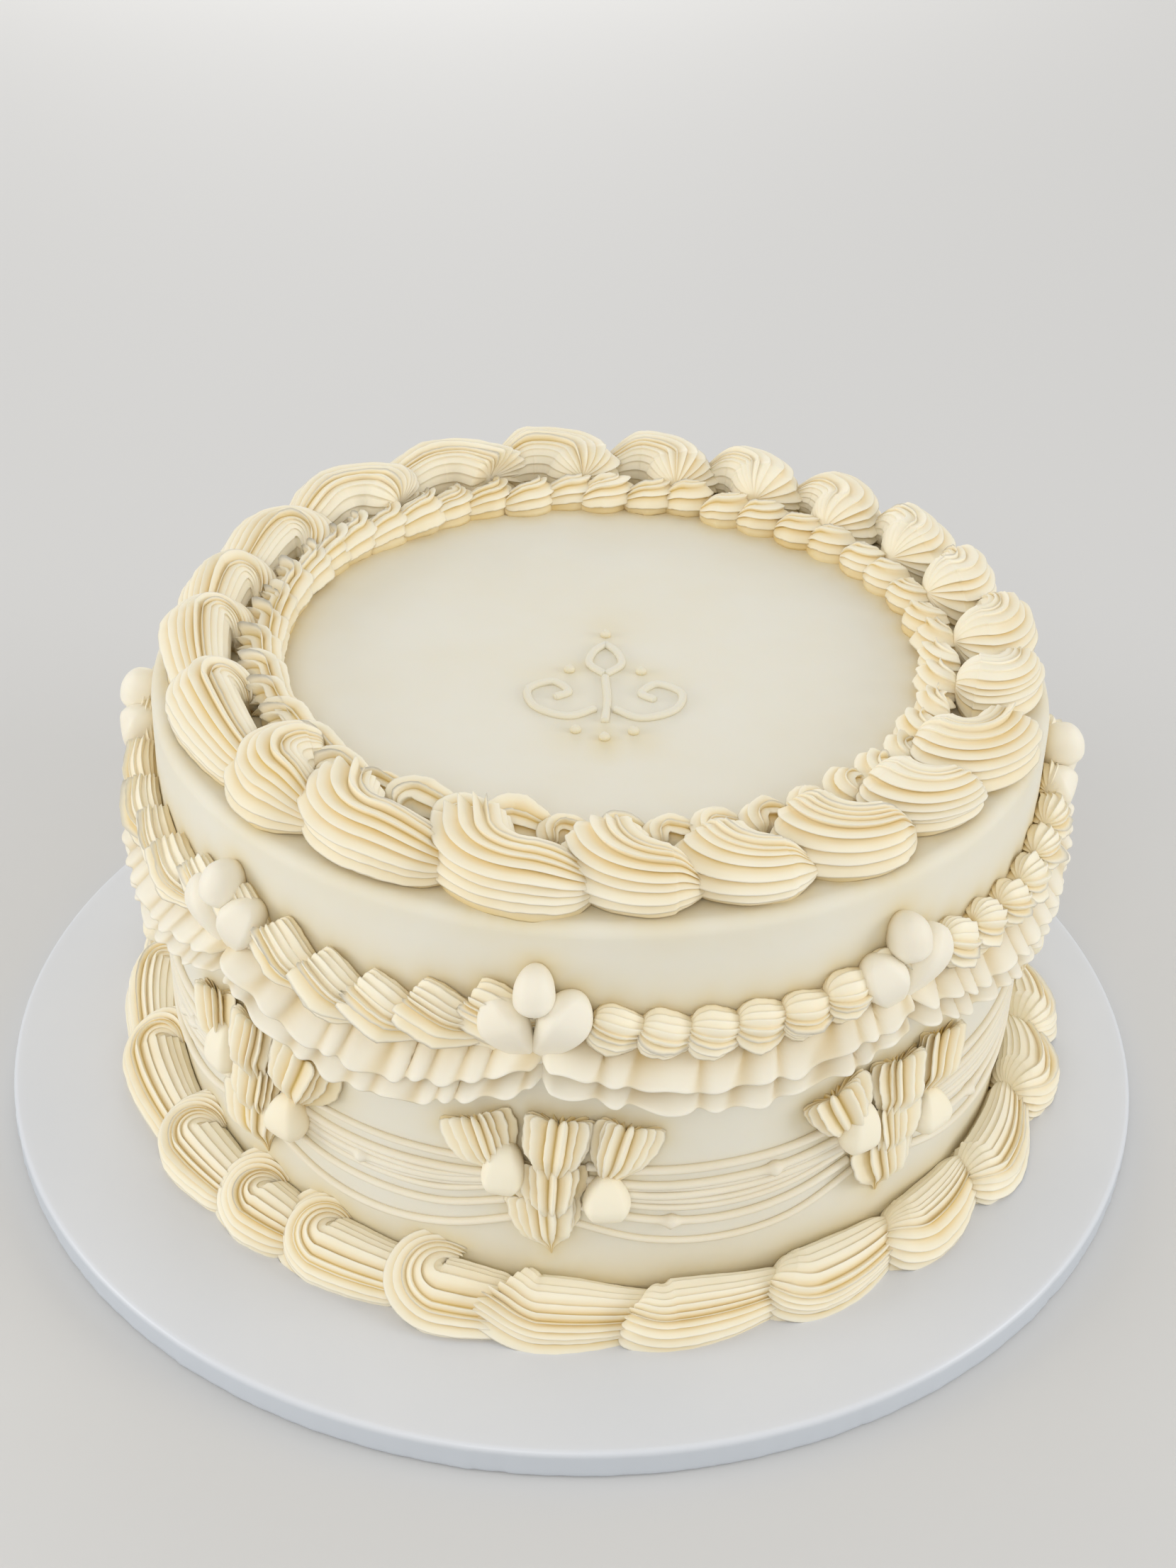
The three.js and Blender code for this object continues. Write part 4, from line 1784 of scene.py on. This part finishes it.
@dataclass(frozen=True)
class SoftBox:
    """A large soft lamp and what it is aimed at."""

    name: str
    place: tuple[float, float, float]
    size: float
    power: float
    aim: tuple[float, float, float] = (0.0, 0.0, 0.06)
    colour: tuple[float, float, float] = (1.0, 1.0, 1.0)

    def build(self) -> None:
        """Hangs the lamp and aims it."""
        data = bpy.data.lights.new(self.name, "AREA")
        data.shape = "DISK"
        data.size = self.size
        data.energy = self.power
        data.color = self.colour
        lamp = bpy.data.objects.new(self.name, data)
        lamp.location = self.place
        lamp.rotation_euler = (Vector(self.aim) - Vector(self.place)).to_track_quat("-Z", "Y").to_euler()
        bpy.context.scene.collection.objects.link(lamp)


@dataclass(frozen=True)
class Studio:
    """A plain pale floor under plain soft light."""

    floor_size: float = 9.0
    sky: tuple[float, float, float, float] = (1.0, 0.995, 0.985, 1.0)
    sky_strength: float = 0.69
    lamps: tuple[SoftBox, ...] = (
        SoftBox("left_lamp", (-1.6, -0.35, 0.5), 0.9, 7.1, colour=(0.98, 1.0, 1.03)),
        SoftBox("right_lamp", (1.6, -0.35, 0.65), 0.9, 7.5, colour=(0.97, 1.0, 1.04)),
        SoftBox("front_lamp", (-0.3, -1.6, 1.3), 0.8, 6.0),
        SoftBox("back_lamp", (-0.2, 1.75, 0.5), 0.8, 5.0, aim=(-0.2, 1.2, 0.0)),
    )

    def build(self) -> None:
        """Lays the floor and hangs the lamps."""
        mesh = bmesh.new()
        bmesh.ops.create_grid(mesh, x_segments=1, y_segments=1, size=self.floor_size / 2)
        data = bpy.data.meshes.new("floor")
        mesh.to_mesh(data)
        mesh.free()
        data.materials.append(FLOOR_PAINT.material())
        floor = bpy.data.objects.new("floor", data)
        bpy.context.scene.collection.objects.link(floor)
        world = bpy.data.worlds.new("studio")
        world.use_nodes = True
        background = world.node_tree.nodes["Background"]
        background.inputs["Color"].default_value = self.sky
        background.inputs["Strength"].default_value = self.sky_strength
        bpy.context.scene.world = world
        bpy.context.scene.view_settings.view_transform = "Standard"
        for lamp in self.lamps:
            lamp.build()


# ---- Assembly -----------------------------------------------------------------------------------


def main() -> None:
    """Builds the cake from the board up, then the studio round it."""
    logging.basicConfig(level=logging.INFO, format="%(name)s: %(message)s")
    form = CakeForm.from_frame()
    bays = find_bays(form)
    Board(form).build()
    ShellBorder(
        form,
        prefix="base_shell",
        count=23,
        scroll=Scroll(arm_in=2.5 * MM, height=14 * MM, tail=0.82, drift=0.5 * MM, shift=3.8 * MM),
        nozzle=Nozzle(ridges=25, groove=0.21, ragged=0.012, droop=0.32, skirt=0.07, calm=0.6),
        radius=form.radius + 1.4 * MM,
        height=form.board_top + 1.4 * MM,
        lean=math.radians(45),
        turns=(22, 196),
        sweep=6,
        swerve=3 * MM,
        taper=0.25,
        waist=0.0,
        swell=0.0,
        sag=0.1,
        fill=0.28,
        curl=(0.57, 0.1),
        fan=(0.52, 0.15),
        tips=(4.6 * MM, 0.8 * MM, 3.4 * MM),
        dome=0.5,
        seed=3,
    ).build()
    ShellBorder(
        form,
        prefix="top_shell",
        count=22,
        scroll=Scroll(tail=0.72, drift=0.8 * MM),
        nozzle=Nozzle(ridges=22, groove=0.22, ragged=0.014, droop=0.32, skirt=0.1, calm=0.7),
        radius=95.4 * MM,
        height=form.top,
        inset=2.4 * MM,
        overhang=3 * MM,
        seed=7,
    ).build()
    BeadBorder(form).build()
    Frill(form, bays, "lower_frill", Hang(80 * MM, 6 * MM), Hang(74 * MM, 7.7 * MM), 8.0 * MM, 43).build()
    Frill(form, bays, "upper_frill", Hang(86 * MM, 4.5 * MM), Hang(80 * MM, 7.3 * MM), 8.6 * MM, 41).build()
    Garland(form, bays).build()
    Motif(form, bays).build()
    Strings(form, bays).build()
    TopOrnament(form).build()
    IcedBody(form).build()
    Viewpoint().build(Vector((0, 0, form.board_top)))
    Studio().build()


if __name__ == "__main__":
    main()
